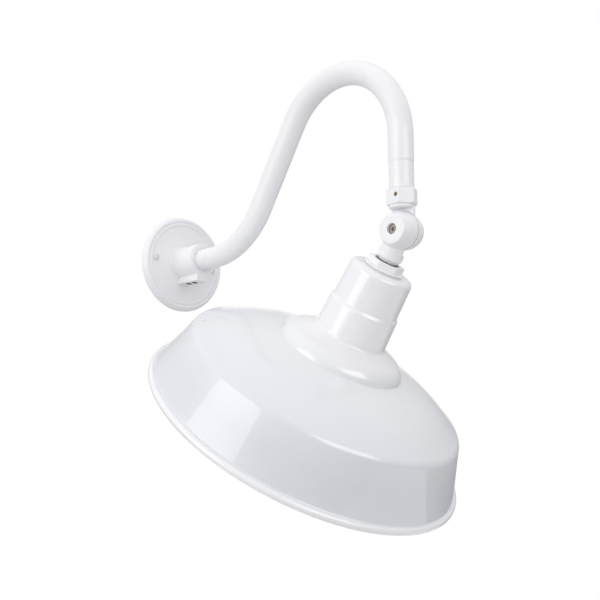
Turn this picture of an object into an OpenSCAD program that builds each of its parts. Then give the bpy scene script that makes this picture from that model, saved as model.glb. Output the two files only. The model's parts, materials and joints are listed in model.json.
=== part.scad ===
// Gooseneck wall lantern: a cast wall plate with a hub, a bent tube arm, a swivel
// with a serrated knuckle, and a spun shade over a lampholder and a lamp.
// X runs along the wall, +Y runs into the wall and +Z runs up. The origin is the
// middle of the wall plate, on the wall. All sizes are in millimetres.

/* [Wall plate] */
// Diameter of the wall plate
plate_d = 122.5; // [118:0.5:150]
// Height of the plate's rim above the wall
plate_h = 8.5; // [8:0.5:14]
// Height of the plate's flat field above the wall
field_h = 7.6; // [7:0.1:7.9]
// Thickness of the casting at the field
field_wall = 3.6; // [3:0.1:4.5]
// Width of the rim's seat on the wall
rim_w = 4.5; // [3.5:0.1:6]
// Distance between the two mounting screws, as on an 88.9 mm box
screw_span = 88.9; // [80:0.1:92]
// Turn of the plate about its middle, clockwise from the front
plate_turn = 6.4; // [-15:0.1:15]
// Radius of the raised bead that runs round the field
bead_r = 51.6; // [51:0.1:52.5]
// Outer diameter of the hub
hub_d = 41; // [38:0.5:48]
// Height of the hub's end face above the wall
hub_h = 47; // [40:0.5:60]
// Width of the lug under the hub
lug_w = 17; // [14:0.5:20]
// Distance from the hub's middle to the lug's underside
lug_drop = 28; // [25:0.5:32]
// Distance between the two set screws in the lug
set_screw_pitch = 12; // [10:0.5:18]
// Diameter of the set screws in the lug
hub_set_screw_d = 7.2; // [5:0.1:8]
// Diameter of the mounting screws' thread
mount_screw_d = 4.2; // [3.5:0.1:5]
// Length of the mounting screws under their heads
mount_screw_len = 25; // [20:1:40]
// Diameter of the mounting screws' round heads
mount_head_d = 9.4; // [8:0.1:10]

/* [Arm] */
// Outer diameter of the arm's tube
tube_d = 26; // [25.5:0.1:28]
// Wall thickness of the arm's tube
tube_wall = 2.6; // [2.4:0.1:3.2]
// Straight length from the wall to the first bend
lead_in = 69.1; // [60:0.1:120]
// Centreline radius of the first bend, which turns upwards
rise_bend_r = 107.9; // [80:0.1:140]
// Angle of the rising straight above level
rise_angle = 55.4; // [45:0.1:65]
// Length of the rising straight
rise_len = 103.1; // [80:0.1:140]
// Centreline radius of the bend over the top
top_bend_r = 84.6; // [70:0.1:100]
// Length of the straight drop down to the swivel
drop_len = 56; // [45:0.5:90]
// Lean of that drop, whose end comes back towards the wall
end_lean = 1.5; // [0:0.1:4]
// Length of the tube's end that is turned down
turned_len = 27.5; // [20:0.5:40]
// Outer diameter of the turned end
turned_d = 25.4; // [25:0.1:25.8]

/* [Swivel] */
// Distance from the tube's end down to the knuckle's pin
pin_drop = 42.3; // [41:0.1:52]
// Turn of the swivel about the arm's end
swivel_turn = 5.5; // [-30:0.5:30]
// Distance across the flats of the hexagonal collar
collar_flats = 28.3; // [28:0.1:30]
// Turn of the collar's flats about the arm's end, against the pin
collar_turn = -8.5; // [-30:0.5:30]
// Height of the hexagonal collar
collar_h = 16; // [14.5:0.1:18]
// Diameter of the upper neck under the collar
upper_neck_d = 26; // [24:0.1:27]
// Diameter of the knuckle where its two halves meet
knuckle_d = 38.5; // [36:0.5:42]
// Thickness of the knuckle's half that takes the bolt's head
head_half_w = 19.4; // [17:0.1:21]
// Thickness of the knuckle's threaded half
thread_half_w = 16.4; // [15:0.1:20]
// Diameter of the knuckle's outer faces
face_d = 26.6; // [24:0.1:28]
// Gap between the two halves
half_gap = 0.3; // [0.3:0.05:0.5]
// Number of notches in each serrated face
serration_count = 45; // [30:1:50]
// Depth of the serration notches
serration_depth = 0.9; // [0.6:0.1:1.2]
// Diameter of the knuckle's bolt
bolt_d = 6.3; // [5:0.1:7]
// Diameter of the bolt's socket head
bolt_head_d = 9.6; // [8:0.1:10]
// Diameter of the pocket round the bolt's head
pocket_d = 10.8; // [10.4:0.1:12]
// Depth of the pocket round the bolt's head
pocket_depth = 9; // [8:0.1:10]
// Diameter of the set screw in the collar
collar_set_screw_d = 4.4; // [3:0.1:5]
// Distance of that set screw from the middle of its flat
collar_set_screw_side = 4.4; // [0:0.1:5]

/* [Shade] */
// Tilt of the shade towards the wall
shade_tilt = 33.7; // [20:0.1:40]
// Distance along the shade's axis from the knuckle's pin to the shade's top
shade_top = 43.3; // [43:0.1:50]
// Thickness of the shade's sheet
shade_t = 1.2; // [0.9:0.1:1.5]
// Radius of the upper neck at its top
neck_top_r = 33.5; // [33:0.1:34.5]
// Radius of the upper neck at the step
neck_step_r = 35.1; // [34.8:0.1:36.2]
// Radius of the lower neck under the step
neck_under_r = 37.1; // [36.8:0.1:37.6]
// Radius of the lower neck at the flare
neck_foot_r = 38.6; // [38:0.1:40]
// Radius of the flare where it meets the dome
flare_r = 68.4; // [66:0.1:70]
// Radius of the dome's widest swell
dome_r = 111.8; // [108:0.1:115]
// Radius of the shade's shoulder, where dome and skirt would meet
shoulder_r = 151.3; // [146:0.1:156]
// Radius of the skirt at the rim
skirt_r = 173.6; // [170:0.1:180]
// Length of the upper neck down to the step
neck_step_drop = 40; // [36:0.1:42]
// Length of the neck down to the flare
neck_drop = 76; // [72:0.1:80]
// Length from the top down to the foot of the flare
flare_drop = 98.8; // [96:0.1:101]
// Length from the top down to the dome's swell
dome_drop = 107.8; // [106:0.1:110]
// Length from the top down to the shoulder
shoulder_drop = 129; // [125:0.1:134]
// Length from the top down to the middle of the rim's bead
rim_drop = 187.4; // [180:0.1:200]
// Diameter of the rolled bead at the rim
rim_bead_d = 8; // [6:0.5:9]
// Bend radius of the shoulder
shoulder_bend_r = 12; // [8:1:16]

/* [Lampholder and lamp] */
// Outer diameter of the lampholder
holder_d = 48; // [46:0.5:56]
// Length of the lampholder's porcelain body
holder_len = 48; // [46:0.5:56]
// Length of the metal cap over the lampholder
cap_len = 15.5; // [14:0.5:18]
// Diameter of the lamp's screw base
lamp_base_d = 25.9; // [25.5:0.1:26.4]
// Greatest diameter of the lamp's glass
lamp_d = 67; // [55:1:70]
// Overall length of the lamp
lamp_len = 133; // [120:1:140]
// Diameter of the insulated leads
lead_d = 2.2; // [1.8:0.1:2.6]

/* [Hidden] */
$fn = 96;
// Running, threaded and seated fits, all as a gap on the radius
shaft_gap = 0.1;
seat_gap = 0.05;
turn_gap = 0.3;
// Overshoot of a cutting tool past the face that it opens
over = 1;
// Degrees between the points of a curved outline
arc_step = 7;

tube_r = tube_d / 2;
tube_bore_r = tube_r - tube_wall;
plate_r = plate_d / 2;
hub_r = hub_d / 2;
hollow_h = field_h - field_wall;
hollow_r = plate_r - rim_w;
hub_floor = 10;
hub_mouth = 2.7;
hub_socket_r = tube_r + shaft_gap;
wire_hole_r = 8;
hub_fillet_r = 4;
hub_draft = 0.5;
plate_edge_r = 4;
plate_edge_run = min(3.4, (plate_r - bead_r - 3.4) * 0.55);
rim_inner_r = bead_r + 3.4;
groove_h = field_h + 0.1;
bead_h = field_h + 0.9;
bead_w = 2.6;
lug_start = 9;
set_screw_first = 20.5;
mount_screw_hole_r = mount_screw_d / 2 + 0.4;
mount_head_h = 3.6;
mount_shank_r = mount_screw_d / 2 - 0.25;
mount_shank_foot = 2;
spot_r = mount_head_d / 2 + 0.2;
gasket_w = 7;
ground_screw_up = 33;
ground_screw_r = 2.4;
ground_head_r = 4.6;
ground_head_t = 2.4;
ground_screw_depth = field_wall - 0.8;
ground_lead_reach = 8;
ground_bend_r = 5;
lead_out = 14;
lead_r = lead_d / 2;

// Lap of a bend into its straights, and the draw of its section
bend_lap = 1;
bend_draw = 0.05;

// Places along the arm's centreline, in the plane X = 0
rise_y = -lead_in - rise_bend_r * sin(rise_angle);
rise_z = rise_bend_r * (1 - cos(rise_angle));
crest_y = rise_y - rise_len * cos(rise_angle);
crest_z = rise_z + rise_len * sin(rise_angle);
crown_y = crest_y - top_bend_r * sin(rise_angle);
crown_z = crest_z - top_bend_r * cos(rise_angle);
end_y = crown_y - top_bend_r * cos(end_lean) + drop_len * sin(end_lean);
end_z = crown_z - top_bend_r * sin(end_lean) - drop_len * cos(end_lean);

nipple_r = tube_bore_r - seat_gap;
nipple_bore_r = nipple_r - 2.6;
lead_side = nipple_bore_r - lead_r - seat_gap;
nipple_in = 25;
nipple_out = 13.5;

collar_top = pin_drop - turn_gap;
collar_foot = collar_top - collar_h;
collar_corner_r = collar_flats / 2 / cos(30);
collar_chamfer = 1.6;
collar_socket_r = nipple_r + shaft_gap;
collar_socket_floor = pin_drop - nipple_out - turn_gap;
knuckle_r = knuckle_d / 2;
face_r = face_d / 2;
face_round_r = 1.6;
face_corner_r = face_r + 1.5;
relief_r = knuckle_r + 0.7;
neck_cut = max(collar_foot - 3, relief_r + 0.5);
half_face = half_gap / 2;
bolt_r = bolt_d / 2;
bolt_hole_r = bolt_r + shaft_gap;
pocket_r = pocket_d / 2;
bolt_head_h = 4.5;
washer_t = 1.2;
washer_r = pocket_r - 0.25;
bolt_end = thread_half_w - 2.5;
chamber_in_r = bolt_hole_r + 2.8;
chamber_r = knuckle_r - 6.3;
chamber_w = 9.5;
chamber_floor_x = half_face + chamber_w;
seal_r = chamber_r + 1.7;
seal_wire_r = 0.7;
serration_in_r = seal_r + 1.4;
serration_w = 1.3;
passage_r = 4.4;
passage_x = 6.2;
knuckle_lead_x = 5.3;
knuckle_lead_y = 2.2;
knuckle_lead_end = (chamber_in_r + chamber_r) / 2;
collar_screw_len = 3.2;
hub_screw_sink = 4;

stem_r = nipple_r;
stem_bore_r = nipple_bore_r;
lower_neck_r = stem_r + 2.95;
lower_neck_end = shade_top - 10.3;
lower_chamfer = 3.8;
shade_seal_t = 1.2;
nut_flange_r = 21;
nut_flange_t = 1.7;
nut_corner_r = 19.4;
nut_h = 8.2;
nut_foot = shade_top - shade_seal_t;
nut_top = nut_foot - nut_h;
nut_recess_r = stem_r + 2.8;
nut_recess_h = 4;
nut_thread_r = stem_r + seat_gap;
nut_turn = 12;
neck_corner_r = 6.2;
step_h = 3.2;
step_round_r = 2.4;
neck_fillet_r = 5;
flare_round_r = 9;
flare_edge_in = 3.3;
flare_edge_rise = 10;
crease_r = 0.8;
dome_bend_r = 190;
shade_inside = shade_top + shade_t;

holder_r = holder_d / 2;
cap_wall = 2;
cap_boss_r = 4;
cap_collar_r = nut_thread_r + 3.6;
cap_foot = shade_inside + cap_len;
stem_end = cap_foot + 0.5;
holder_top = cap_foot;
holder_foot = holder_top + holder_len;
wiring_r = 15;
wiring_depth = 10;
web_t = 4;
web_foot = holder_top + wiring_depth + web_t;
lamp_base_r = lamp_base_d / 2;
shell_t = 0.5;
shell_in_r = lamp_base_r + turn_gap;
shell_out_r = shell_in_r + shell_t;
holder_bore_r = shell_out_r + seat_gap;
shell_short = 4;
shell_flange_t = 0.8;
shell_flange_in_r = 9.5;
holder_screw_at = (holder_r + holder_bore_r) / 2;
holder_screw_r = 1.6;
holder_head_r = 2.8;
holder_head_h = 2;
holder_head_sink = 12;
holder_screw_gap = 0.2;
terminal_y = 9;
terminal_r = 1.8;
terminal_head_r = 3.4;
terminal_head_h = 2;
terminal_depth = 3;
contact_w = 6;
contact_t = 0.8;
contact_len = 11;
contact_rise = 2.6;
lamp_tip_at = web_foot + contact_t + contact_rise + turn_gap;
lamp_tip_r = 4.6;
lamp_tip_h = 1.3;
lamp_insulator_h = 4;
lamp_insulator_r = 9;
lamp_base_top = lamp_tip_at + lamp_tip_h + lamp_insulator_h;
lamp_base_foot = lamp_base_top + 21;
lamp_base_t = 0.4;
glass_t = 0.8;
glass_neck_r = lamp_base_r - lamp_base_t - seat_gap;
glass_top = lamp_base_foot - 12;
glass_r = lamp_d / 2;
glass_middle = lamp_tip_at + lamp_len - glass_r;
glass_blend_r = 60;
stem_glass_r = 3.4;
stem_glass_foot = glass_middle - 26;
filament_r = 10;
filament_wire_r = 0.5;
filament_leg_r = 0.4;
filament_at = glass_middle - 6;

// ---------------------------------------------------------------- outlines

function unit(v) = v / norm(v);

// Points of the arc that rounds the corner b between a and c with radius r
function corner(a, b, c, r) =
    let (
        u = unit(a - b),
        v = unit(c - b),
        half = acos(max(-1, min(1, u * v))) / 2,
        run = min(r / tan(half), norm(a - b) * 0.49, norm(c - b) * 0.49),
        true_r = run * tan(half),
        middle = b + unit(u + v) * true_r / sin(half),
        start = b + u * run - middle,
        finish = b + v * run - middle,
        first = atan2(start[1], start[0]),
        turn = (atan2(finish[1], finish[0]) - first + 540) % 360 - 180,
        steps = max(2, ceil(abs(turn) / arc_step))
    )
    [for (i = [0:steps])
        middle + true_r * [cos(first + turn * i / steps), sin(first + turn * i / steps)]];

// A polyline whose points [x, y, r] are rounded by their own radius r
function rounded(p) = [
    for (i = [0:len(p) - 1])
        let (here = [p[i][0], p[i][1]])
        each (i == 0 || i == len(p) - 1 || p[i][2] == 0)
            ? [here]
            : corner([p[i - 1][0], p[i - 1][1]], here, [p[i + 1][0], p[i + 1][1]], p[i][2])
];

function side_of(a, b) = let (d = unit(b - a)) [-d[1], d[0]];

// The same polyline moved sideways by t, to its left where t is above zero
function shifted(p, t) = [
    for (i = [0:len(p) - 1])
        let (
            n_in = i > 0 ? side_of(p[i - 1], p[i]) : side_of(p[0], p[1]),
            n_out = i < len(p) - 1 ? side_of(p[i], p[i + 1]) : n_in,
            n = unit(n_in + n_out)
        )
        p[i] + n * t / (n * n_in)
];

function reversed(p) = [for (i = [len(p) - 1:-1:0]) p[i]];

// ---------------------------------------------------------------- frames

// Out from the wall along local Z, turned with the plate
module wall_frame() {
    rotate([90, 0, 0])
        rotate([0, 0, -plate_turn])
            children();
}

// The tube's end, with local Z up along its drop
module end_frame() {
    translate([0, end_y, end_z])
        rotate([end_lean, 0, 0])
            children();
}

// Middle of the knuckle's pin, which runs along local X
module swivel_frame() {
    end_frame()
        translate([0, 0, -pin_drop])
            rotate([0, 0, swivel_turn])
                children();
}

// The same place, with the shade's axis down along local Z
module head_frame() {
    swivel_frame()
        rotate([shade_tilt, 0, 0])
            children();
}

// A cylinder of height h whose lower end is s below the pin
module post(r, s, h) {
    translate([0, 0, -s])
        cylinder(r = r, h = h);
}

// ---------------------------------------------------------------- wall plate

module plate_profile() {
    outer = [
        [0, hollow_h, 0],
        [hollow_r, hollow_h, 0],
        [hollow_r, 0, 0],
        [plate_r, 0, 0],
        [plate_r - 0.3, plate_h * 0.45, plate_edge_r],
        [plate_r - plate_edge_run, plate_h, plate_edge_r],
        [rim_inner_r, plate_h, 0.6],
        [rim_inner_r - 0.8, groove_h, 0.4],
        [bead_r + bead_w / 2 + 0.5, groove_h, 0.4],
        [bead_r + bead_w / 2 - 0.2, bead_h, 0.5],
        [bead_r - bead_w / 2 + 0.2, bead_h, 0.5],
        [bead_r - bead_w / 2 - 0.5, field_h, 0.4],
        [hub_r + hub_draft, field_h, hub_fillet_r],
        [hub_r, hub_h, 0.8],
        [0, hub_h, 0]
    ];
    polygon(rounded(outer));
}

module lug() {
    translate([-lug_w / 2, -lug_drop, lug_start])
        cube([lug_w, lug_drop - hub_r / 2, hub_h - lug_start]);
}

// Axes of the two set screws, each pointing up into the tube
module set_screw_places() {
    for (out = [set_screw_first, set_screw_first + set_screw_pitch])
        translate([0, -lug_drop, out])
            rotate([-90, 0, 0])
                children();
}

module mount_screw_places() {
    for (side = [-1, 1])
        translate([side * screw_span / 2, 0, 0])
            children();
}

module wall_plate() {
    color("whitesmoke")
        wall_frame()
            difference() {
                union() {
                    rotate_extrude()
                        plate_profile();
                    lug();
                }
                translate([0, 0, hub_floor])
                    cylinder(r = hub_socket_r, h = hub_h);
                translate([0, 0, hub_h - hub_mouth])
                    cylinder(r1 = hub_socket_r, r2 = hub_socket_r + hub_mouth + over, h = hub_mouth + over);
                translate([0, 0, -over])
                    cylinder(r = wire_hole_r, h = hub_h);
                set_screw_places()
                    translate([0, 0, -over])
                        cylinder(r = hub_set_screw_d / 2 + seat_gap, h = lug_drop - tube_r + over);
                mount_screw_places()
                    cylinder(r = mount_screw_hole_r, h = plate_h);
                if (screw_span / 2 + spot_r > bead_r - bead_w / 2 - 0.5)
                    mount_screw_places()
                        translate([0, 0, field_h])
                            cylinder(r = spot_r, h = plate_h);
                translate([0, ground_screw_up, hollow_h - over])
                    cylinder(r = ground_screw_r + seat_gap, h = ground_screw_depth + over);
            }
}

module wall_gasket() {
    color("dimgray")
        wall_frame()
            difference() {
                cylinder(r = hollow_r - seat_gap, h = hollow_h);
                translate([0, 0, -over])
                    cylinder(r = hollow_r - gasket_w, h = hollow_h + 2 * over);
                if (screw_span / 2 + mount_screw_hole_r > hollow_r - gasket_w - 0.5)
                    mount_screw_places()
                        translate([0, 0, -over])
                            cylinder(r = mount_screw_hole_r, h = hollow_h + 2 * over);
            }
}

// A round head is a ball cut off at the head's flat seat
module round_head(r, h) {
    ball_r = (r * r + h * h) / (2 * h);
    intersection() {
        translate([0, 0, h - ball_r])
            sphere(r = ball_r);
        cylinder(r = r, h = h);
    }
}

// A plain shank through the plate, then the thread from there to the tip
module mounting_screws() {
    color("white")
        wall_frame()
            mount_screw_places()
                union() {
                    translate([0, 0, field_h])
                        round_head(mount_head_d / 2, mount_head_h);
                    translate([0, 0, mount_shank_foot - over])
                        cylinder(r = mount_shank_r, h = field_h - mount_shank_foot + over + mount_head_h / 2);
                    translate([0, 0, field_h - mount_screw_len])
                        cylinder(r = mount_screw_d / 2, h = mount_screw_len - field_h + mount_shank_foot);
                }
}

module socket_screw(r, h, key_r) {
    difference() {
        cylinder(r = r, h = h);
        translate([0, 0, -over])
            cylinder(r = key_r, h = h / 2 + over, $fn = 6);
    }
}

module hub_set_screws() {
    color("dimgray")
        wall_frame()
            set_screw_places()
                translate([0, 0, hub_screw_sink])
                    socket_screw(hub_set_screw_d / 2, lug_drop - tube_r - hub_screw_sink, hub_set_screw_d / 4);
}

module ground_screw() {
    color("seagreen")
        wall_frame()
            translate([0, ground_screw_up, hollow_h])
                union() {
                    translate([0, 0, -ground_head_t])
                        cylinder(r = ground_head_r, h = ground_head_t, $fn = 6);
                    translate([0, 0, -ground_head_t / 2])
                        cylinder(r = ground_screw_r, h = ground_screw_depth + ground_head_t / 2);
                }
}

// Leaves the screw sideways and bends back into the wall box
module ground_lead() {
    reach = ground_head_r + ground_lead_reach;
    level = hollow_h - ground_head_t / 2;
    color("seagreen")
        wall_frame()
            translate([0, ground_screw_up, level])
                union() {
                    translate([ground_head_r, 0, 0])
                        rotate([0, 90, 0])
                            cylinder(r = lead_r, h = ground_lead_reach);
                    translate([reach, 0, -ground_bend_r])
                        rotate([90, 0, 0])
                            rotate_extrude(angle = 90)
                                translate([ground_bend_r, 0])
                                    circle(r = lead_r);
                    translate([reach + ground_bend_r, 0, -lead_out])
                        cylinder(r = lead_r, h = lead_out - ground_bend_r);
                }
}

// ---------------------------------------------------------------- arm

// A round section, hollow where it has a bore
module section(r, bore_r) {
    difference() {
        circle(r = r);
        if (bore_r > 0)
            circle(r = bore_r);
    }
}

// A bend in its own plane, which laps a little way into the straights beside it
// and is drawn down a hair, as tube is when it is bent
module bend(r, bend_r, angle) {
    lap = bend_lap / bend_r * 180 / PI;
    rotate([0, 0, -lap])
        rotate_extrude(angle = angle + 2 * lap)
            translate([bend_r, 0])
                circle(r = r - bend_draw);
}

// A round bar along the arm's centreline, from start in front of the wall to
// finish above the tube's end
module along_arm(r, start, finish) {
    union() {
        translate([0, -start, 0])
            rotate([90, 0, 0])
                cylinder(r = r, h = lead_in - start);
        translate([0, -lead_in, rise_bend_r])
            rotate([0, -90, 0])
                rotate([0, 0, 180])
                    bend(r, rise_bend_r, rise_angle);
        translate([0, rise_y, rise_z])
            rotate([90 - rise_angle, 0, 0])
                cylinder(r = r, h = rise_len);
        translate([0, crown_y, crown_z])
            rotate([90, 0, 90])
                rotate([0, 0, 90 - rise_angle])
                    bend(r, top_bend_r, 90 + rise_angle + end_lean);
        end_frame()
            translate([0, 0, finish])
                cylinder(r = r, h = drop_len - finish);
    }
}

module arm_tube() {
    color("white")
        difference() {
            union() {
                along_arm(tube_r, hub_floor, turned_len);
                end_frame()
                    cylinder(r = turned_d / 2, h = turned_len + over);
            }
            along_arm(tube_bore_r, hub_floor - over, -over);
        }
}

module arm_end_nipple() {
    color("lightgray")
        end_frame()
            translate([0, 0, -nipple_out])
                linear_extrude(height = nipple_in + nipple_out)
                    section(nipple_r, nipple_bore_r);
}

module arm_lead(side) {
    translate([side * lead_side, 0, 0])
        along_arm(lead_r, -lead_out, -nipple_out);
}

module arm_lead_black() {
    color("black")
        arm_lead(-1);
}

module arm_lead_white() {
    color("ivory")
        arm_lead(1);
}

// ---------------------------------------------------------------- swivel

// One solid half of the knuckle, of thickness w, on the -X side of the pin
module half_ball(w) {
    profile = [
        [0, half_face, 0],
        [knuckle_r, half_face, 0],
        [knuckle_r - 0.25, w / 4, 12],
        [knuckle_r * 0.62 + face_corner_r * 0.38, w * 0.62, 14],
        [face_corner_r, w, face_round_r],
        [0, w, 0]
    ];
    rotate([0, -90, 0])
        rotate_extrude()
            polygon(rounded(profile));
}

// Everything that the other half needs free to turn, with the flat cut across
// the neck above it
module other_half_space() {
    translate([-half_face, 0, 0])
        rotate([0, 90, 0])
            cylinder(r = relief_r, h = knuckle_d);
    translate([-half_face, -relief_r, -neck_cut])
        cube([knuckle_d, 2 * relief_r, neck_cut]);
}

module serration() {
    for (i = [0:serration_count - 1])
        rotate([i * 360 / serration_count, 0, 0])
            translate([-half_face - serration_depth, -serration_w / 2, serration_in_r])
                cube([serration_depth + over, serration_w, relief_r - 0.2 - serration_in_r]);
}

// Ring-shaped wire chamber round the bolt, open to the other half
module wire_chamber() {
    translate([-chamber_floor_x, 0, 0])
        rotate([0, 90, 0])
            linear_extrude(height = chamber_w + over)
                section(chamber_r, chamber_in_r);
}

// Cuts shared by both halves, with the neck pointing down
module knuckle_cuts() {
    other_half_space();
    serration();
    wire_chamber();
    translate([-passage_x, 0, -collar_foot])
        cylinder(r = passage_r, h = collar_foot - chamber_in_r);
}

module swivel_upper_half() {
    color("whitesmoke")
        swivel_frame()
            difference() {
                union() {
                    rotate([0, 180, 0])
                        difference() {
                            union() {
                                half_ball(thread_half_w);
                                translate([0, 0, -collar_foot - over])
                                    cylinder(r = upper_neck_d / 2, h = collar_foot - chamber_r + over);
                            }
                            knuckle_cuts();
                        }
                    intersection() {
                        translate([0, 0, collar_foot])
                            rotate([0, 0, 30 + collar_turn])
                                cylinder(r = collar_corner_r, h = collar_h, $fn = 6);
                        translate([0, 0, collar_foot])
                            rotate_extrude()
                                polygon([
                                    [0, 0],
                                    [collar_corner_r - collar_chamfer, 0],
                                    [collar_corner_r, collar_chamfer],
                                    [collar_corner_r, collar_h - collar_chamfer / 3],
                                    [collar_corner_r - collar_chamfer / 3, collar_h],
                                    [0, collar_h]
                                ]);
                    }
                }
                translate([0, 0, collar_socket_floor])
                    cylinder(r = collar_socket_r, h = collar_h);
                translate([0, 0, collar_foot - 1.5 * over])
                    cylinder(r = stem_bore_r, h = collar_h);
                translate([passage_x, 0, collar_foot - 3 * over])
                    cylinder(r = passage_r, h = 2 * over);
                rotate([0, 90, 0])
                    cylinder(r = bolt_r + seat_gap, h = bolt_end);
                collar_set_screw_place()
                    translate([0, 0, -over])
                        cylinder(r = collar_set_screw_d / 2 + seat_gap, h = collar_flats / 2);
            }
}

// Starts on the collar's flat and points in to the nipple
module collar_set_screw_place() {
    rotate([0, 0, collar_turn])
        translate([-collar_flats / 2, -collar_set_screw_side, collar_foot + collar_h * 0.56])
            rotate([0, 90, 0])
                children();
}

module collar_set_screw() {
    reach = collar_flats / 2 - sqrt(pow(nipple_r, 2) - pow(collar_set_screw_side - collar_set_screw_d / 2, 2));
    color("dimgray")
        swivel_frame()
            collar_set_screw_place()
                translate([0, 0, reach - shaft_gap - collar_screw_len])
                    socket_screw(collar_set_screw_d / 2, collar_screw_len, collar_set_screw_d / 4);
}

module knuckle_bolt() {
    seat = -head_half_w + pocket_depth - washer_t;
    color("silver")
        swivel_frame()
            rotate([0, 90, 0])
                union() {
                    translate([0, 0, seat - bolt_head_h])
                        socket_screw(bolt_head_d / 2, bolt_head_h, bolt_head_d / 4);
                    translate([0, 0, seat - over])
                        cylinder(r = bolt_r, h = bolt_end - seat + over);
                }
}

module knuckle_leads() {
    color("black")
        swivel_frame()
            for (side = [-1, 1])
                translate([knuckle_lead_x, side * knuckle_lead_y, knuckle_lead_end])
                    cylinder(r = lead_r, h = collar_socket_floor - knuckle_lead_end);
}

module swivel_lower_half() {
    color("whitesmoke")
        head_frame()
            difference() {
                union() {
                    difference() {
                        union() {
                            half_ball(head_half_w);
                            rotate_extrude()
                                polygon([
                                    [0, -chamber_r],
                                    [lower_neck_r, -chamber_r],
                                    [lower_neck_r, -lower_neck_end + lower_chamfer],
                                    [stem_r, -lower_neck_end],
                                    [stem_r, -stem_end],
                                    [0, -stem_end]
                                ]);
                        }
                        knuckle_cuts();
                    }
                }
                post(stem_bore_r, stem_end + over, stem_end + over - collar_foot + 1.5 * over);
                rotate([0, -90, 0])
                    cylinder(r = bolt_hole_r, h = head_half_w + over);
                translate([-head_half_w - over, 0, 0])
                    rotate([0, 90, 0])
                        cylinder(r = pocket_r, h = pocket_depth + over);
                seal_groove();
            }
}

module seal_groove() {
    rotate([0, -90, 0])
        rotate_extrude()
            translate([seal_r - seal_wire_r, 0])
                square([2 * seal_wire_r, half_face + 2 * seal_wire_r]);
}

module bolt_washer() {
    color("silver")
        head_frame()
            translate([-head_half_w + pocket_depth - washer_t, 0, 0])
                rotate([0, 90, 0])
                    linear_extrude(height = washer_t)
                        section(washer_r, bolt_hole_r);
}

module knuckle_seal() {
    color("dimgray")
        head_frame()
            rotate([0, -90, 0])
                translate([0, 0, half_face + seal_wire_r])
                    rotate_extrude()
                        translate([seal_r, 0])
                            circle(r = seal_wire_r);
}

// ---------------------------------------------------------------- shade

module shade_locknut() {
    color("whitesmoke")
        head_frame()
            difference() {
                union() {
                    rotate([0, 0, nut_turn])
                        translate([0, 0, -nut_foot + nut_flange_t - over])
                            cylinder(r = nut_corner_r, h = nut_h - nut_flange_t + over, $fn = 6);
                    post(nut_flange_r, nut_foot, nut_flange_t);
                }
                post(nut_thread_r, nut_foot + over, nut_h + 2 * over);
                post(nut_recess_r, nut_top + nut_recess_h, nut_recess_h + over);
            }
}

module shade_seal() {
    color("dimgray")
        head_frame()
            difference() {
                post(nut_flange_r - 1, shade_top, shade_seal_t);
                post(nut_thread_r, shade_top + over, shade_seal_t + 2 * over);
            }
}

// The sheet's outer face as [radius, distance below the top, bend radius]
function shade_line() = [
    [nut_thread_r, 0, 0],
    [neck_top_r, 0, neck_corner_r],
    [neck_step_r, neck_step_drop, step_round_r],
    [neck_under_r, neck_step_drop + step_h, step_round_r],
    [neck_foot_r, neck_drop, neck_fillet_r],
    [flare_r - flare_edge_in, flare_drop - flare_edge_rise, flare_round_r],
    [flare_r, flare_drop, crease_r],
    [dome_r, dome_drop, dome_bend_r],
    [shoulder_r, shoulder_drop, shoulder_bend_r],
    [skirt_r, rim_drop, 0]
];

// Inner face: every point moves in by the sheet's thickness
function shade_inner() =
    let (
        line = shade_line(),
        flat = shifted([for (p = line) [p[0], p[1]]], shade_t)
    )
    [for (i = [0:len(flat) - 1]) [flat[i][0], flat[i][1], line[i][2]]];

module shade() {
    outer = rounded(shade_line());
    inner = rounded(shade_inner());
    color("white")
        head_frame()
            translate([0, 0, -shade_top])
                mirror([0, 0, 1])
                    rotate_extrude()
                        union() {
                            polygon(concat(outer, reversed(inner)));
                            translate([skirt_r - shade_t / 2, rim_drop])
                                circle(r = rim_bead_d / 2);
                        }
}

// ---------------------------------------------------------------- lampholder

module holder_screw_places() {
    for (side = [-1, 1])
        translate([side * holder_screw_at, 0, 0])
            children();
}

module lampholder_cap() {
    color("lightgray")
        head_frame()
            difference() {
                union() {
                    difference() {
                        post(holder_r, cap_foot, cap_len);
                        post(holder_r - cap_wall, cap_foot + over, cap_len - cap_wall + over);
                    }
                    post(cap_collar_r, cap_foot - over, cap_len - over);
                    holder_screw_places()
                        post(cap_boss_r, cap_foot, cap_len);
                }
                post(nut_thread_r, cap_foot + over, cap_len + 2 * over);
                holder_screw_places()
                    post(holder_screw_r + seat_gap, cap_foot + over, cap_len - cap_wall + over);
            }
}

module lampholder_body() {
    color("white")
        head_frame()
            difference() {
                post(holder_r, holder_foot, holder_len);
                post(holder_bore_r, holder_foot + over, holder_foot - web_foot + over);
                post(wiring_r, holder_top + wiring_depth, wiring_depth + over);
                holder_screw_places() {
                    post(holder_screw_r + holder_screw_gap, holder_foot + over, holder_len + 2 * over);
                    post(holder_head_r + holder_screw_gap, holder_foot + over, holder_head_sink + over);
                }
                terminal_places()
                    post(terminal_r + seat_gap, holder_top + wiring_depth + terminal_depth, terminal_depth + over);
            }
}

module lampholder_screws() {
    seat = holder_foot - holder_head_sink;
    color("silver")
        head_frame()
            holder_screw_places()
                union() {
                    post(holder_screw_r, seat + holder_head_h / 2, seat - shade_inside - cap_wall - over);
                    post(holder_head_r, seat + holder_head_h, holder_head_h);
                }
}

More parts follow.
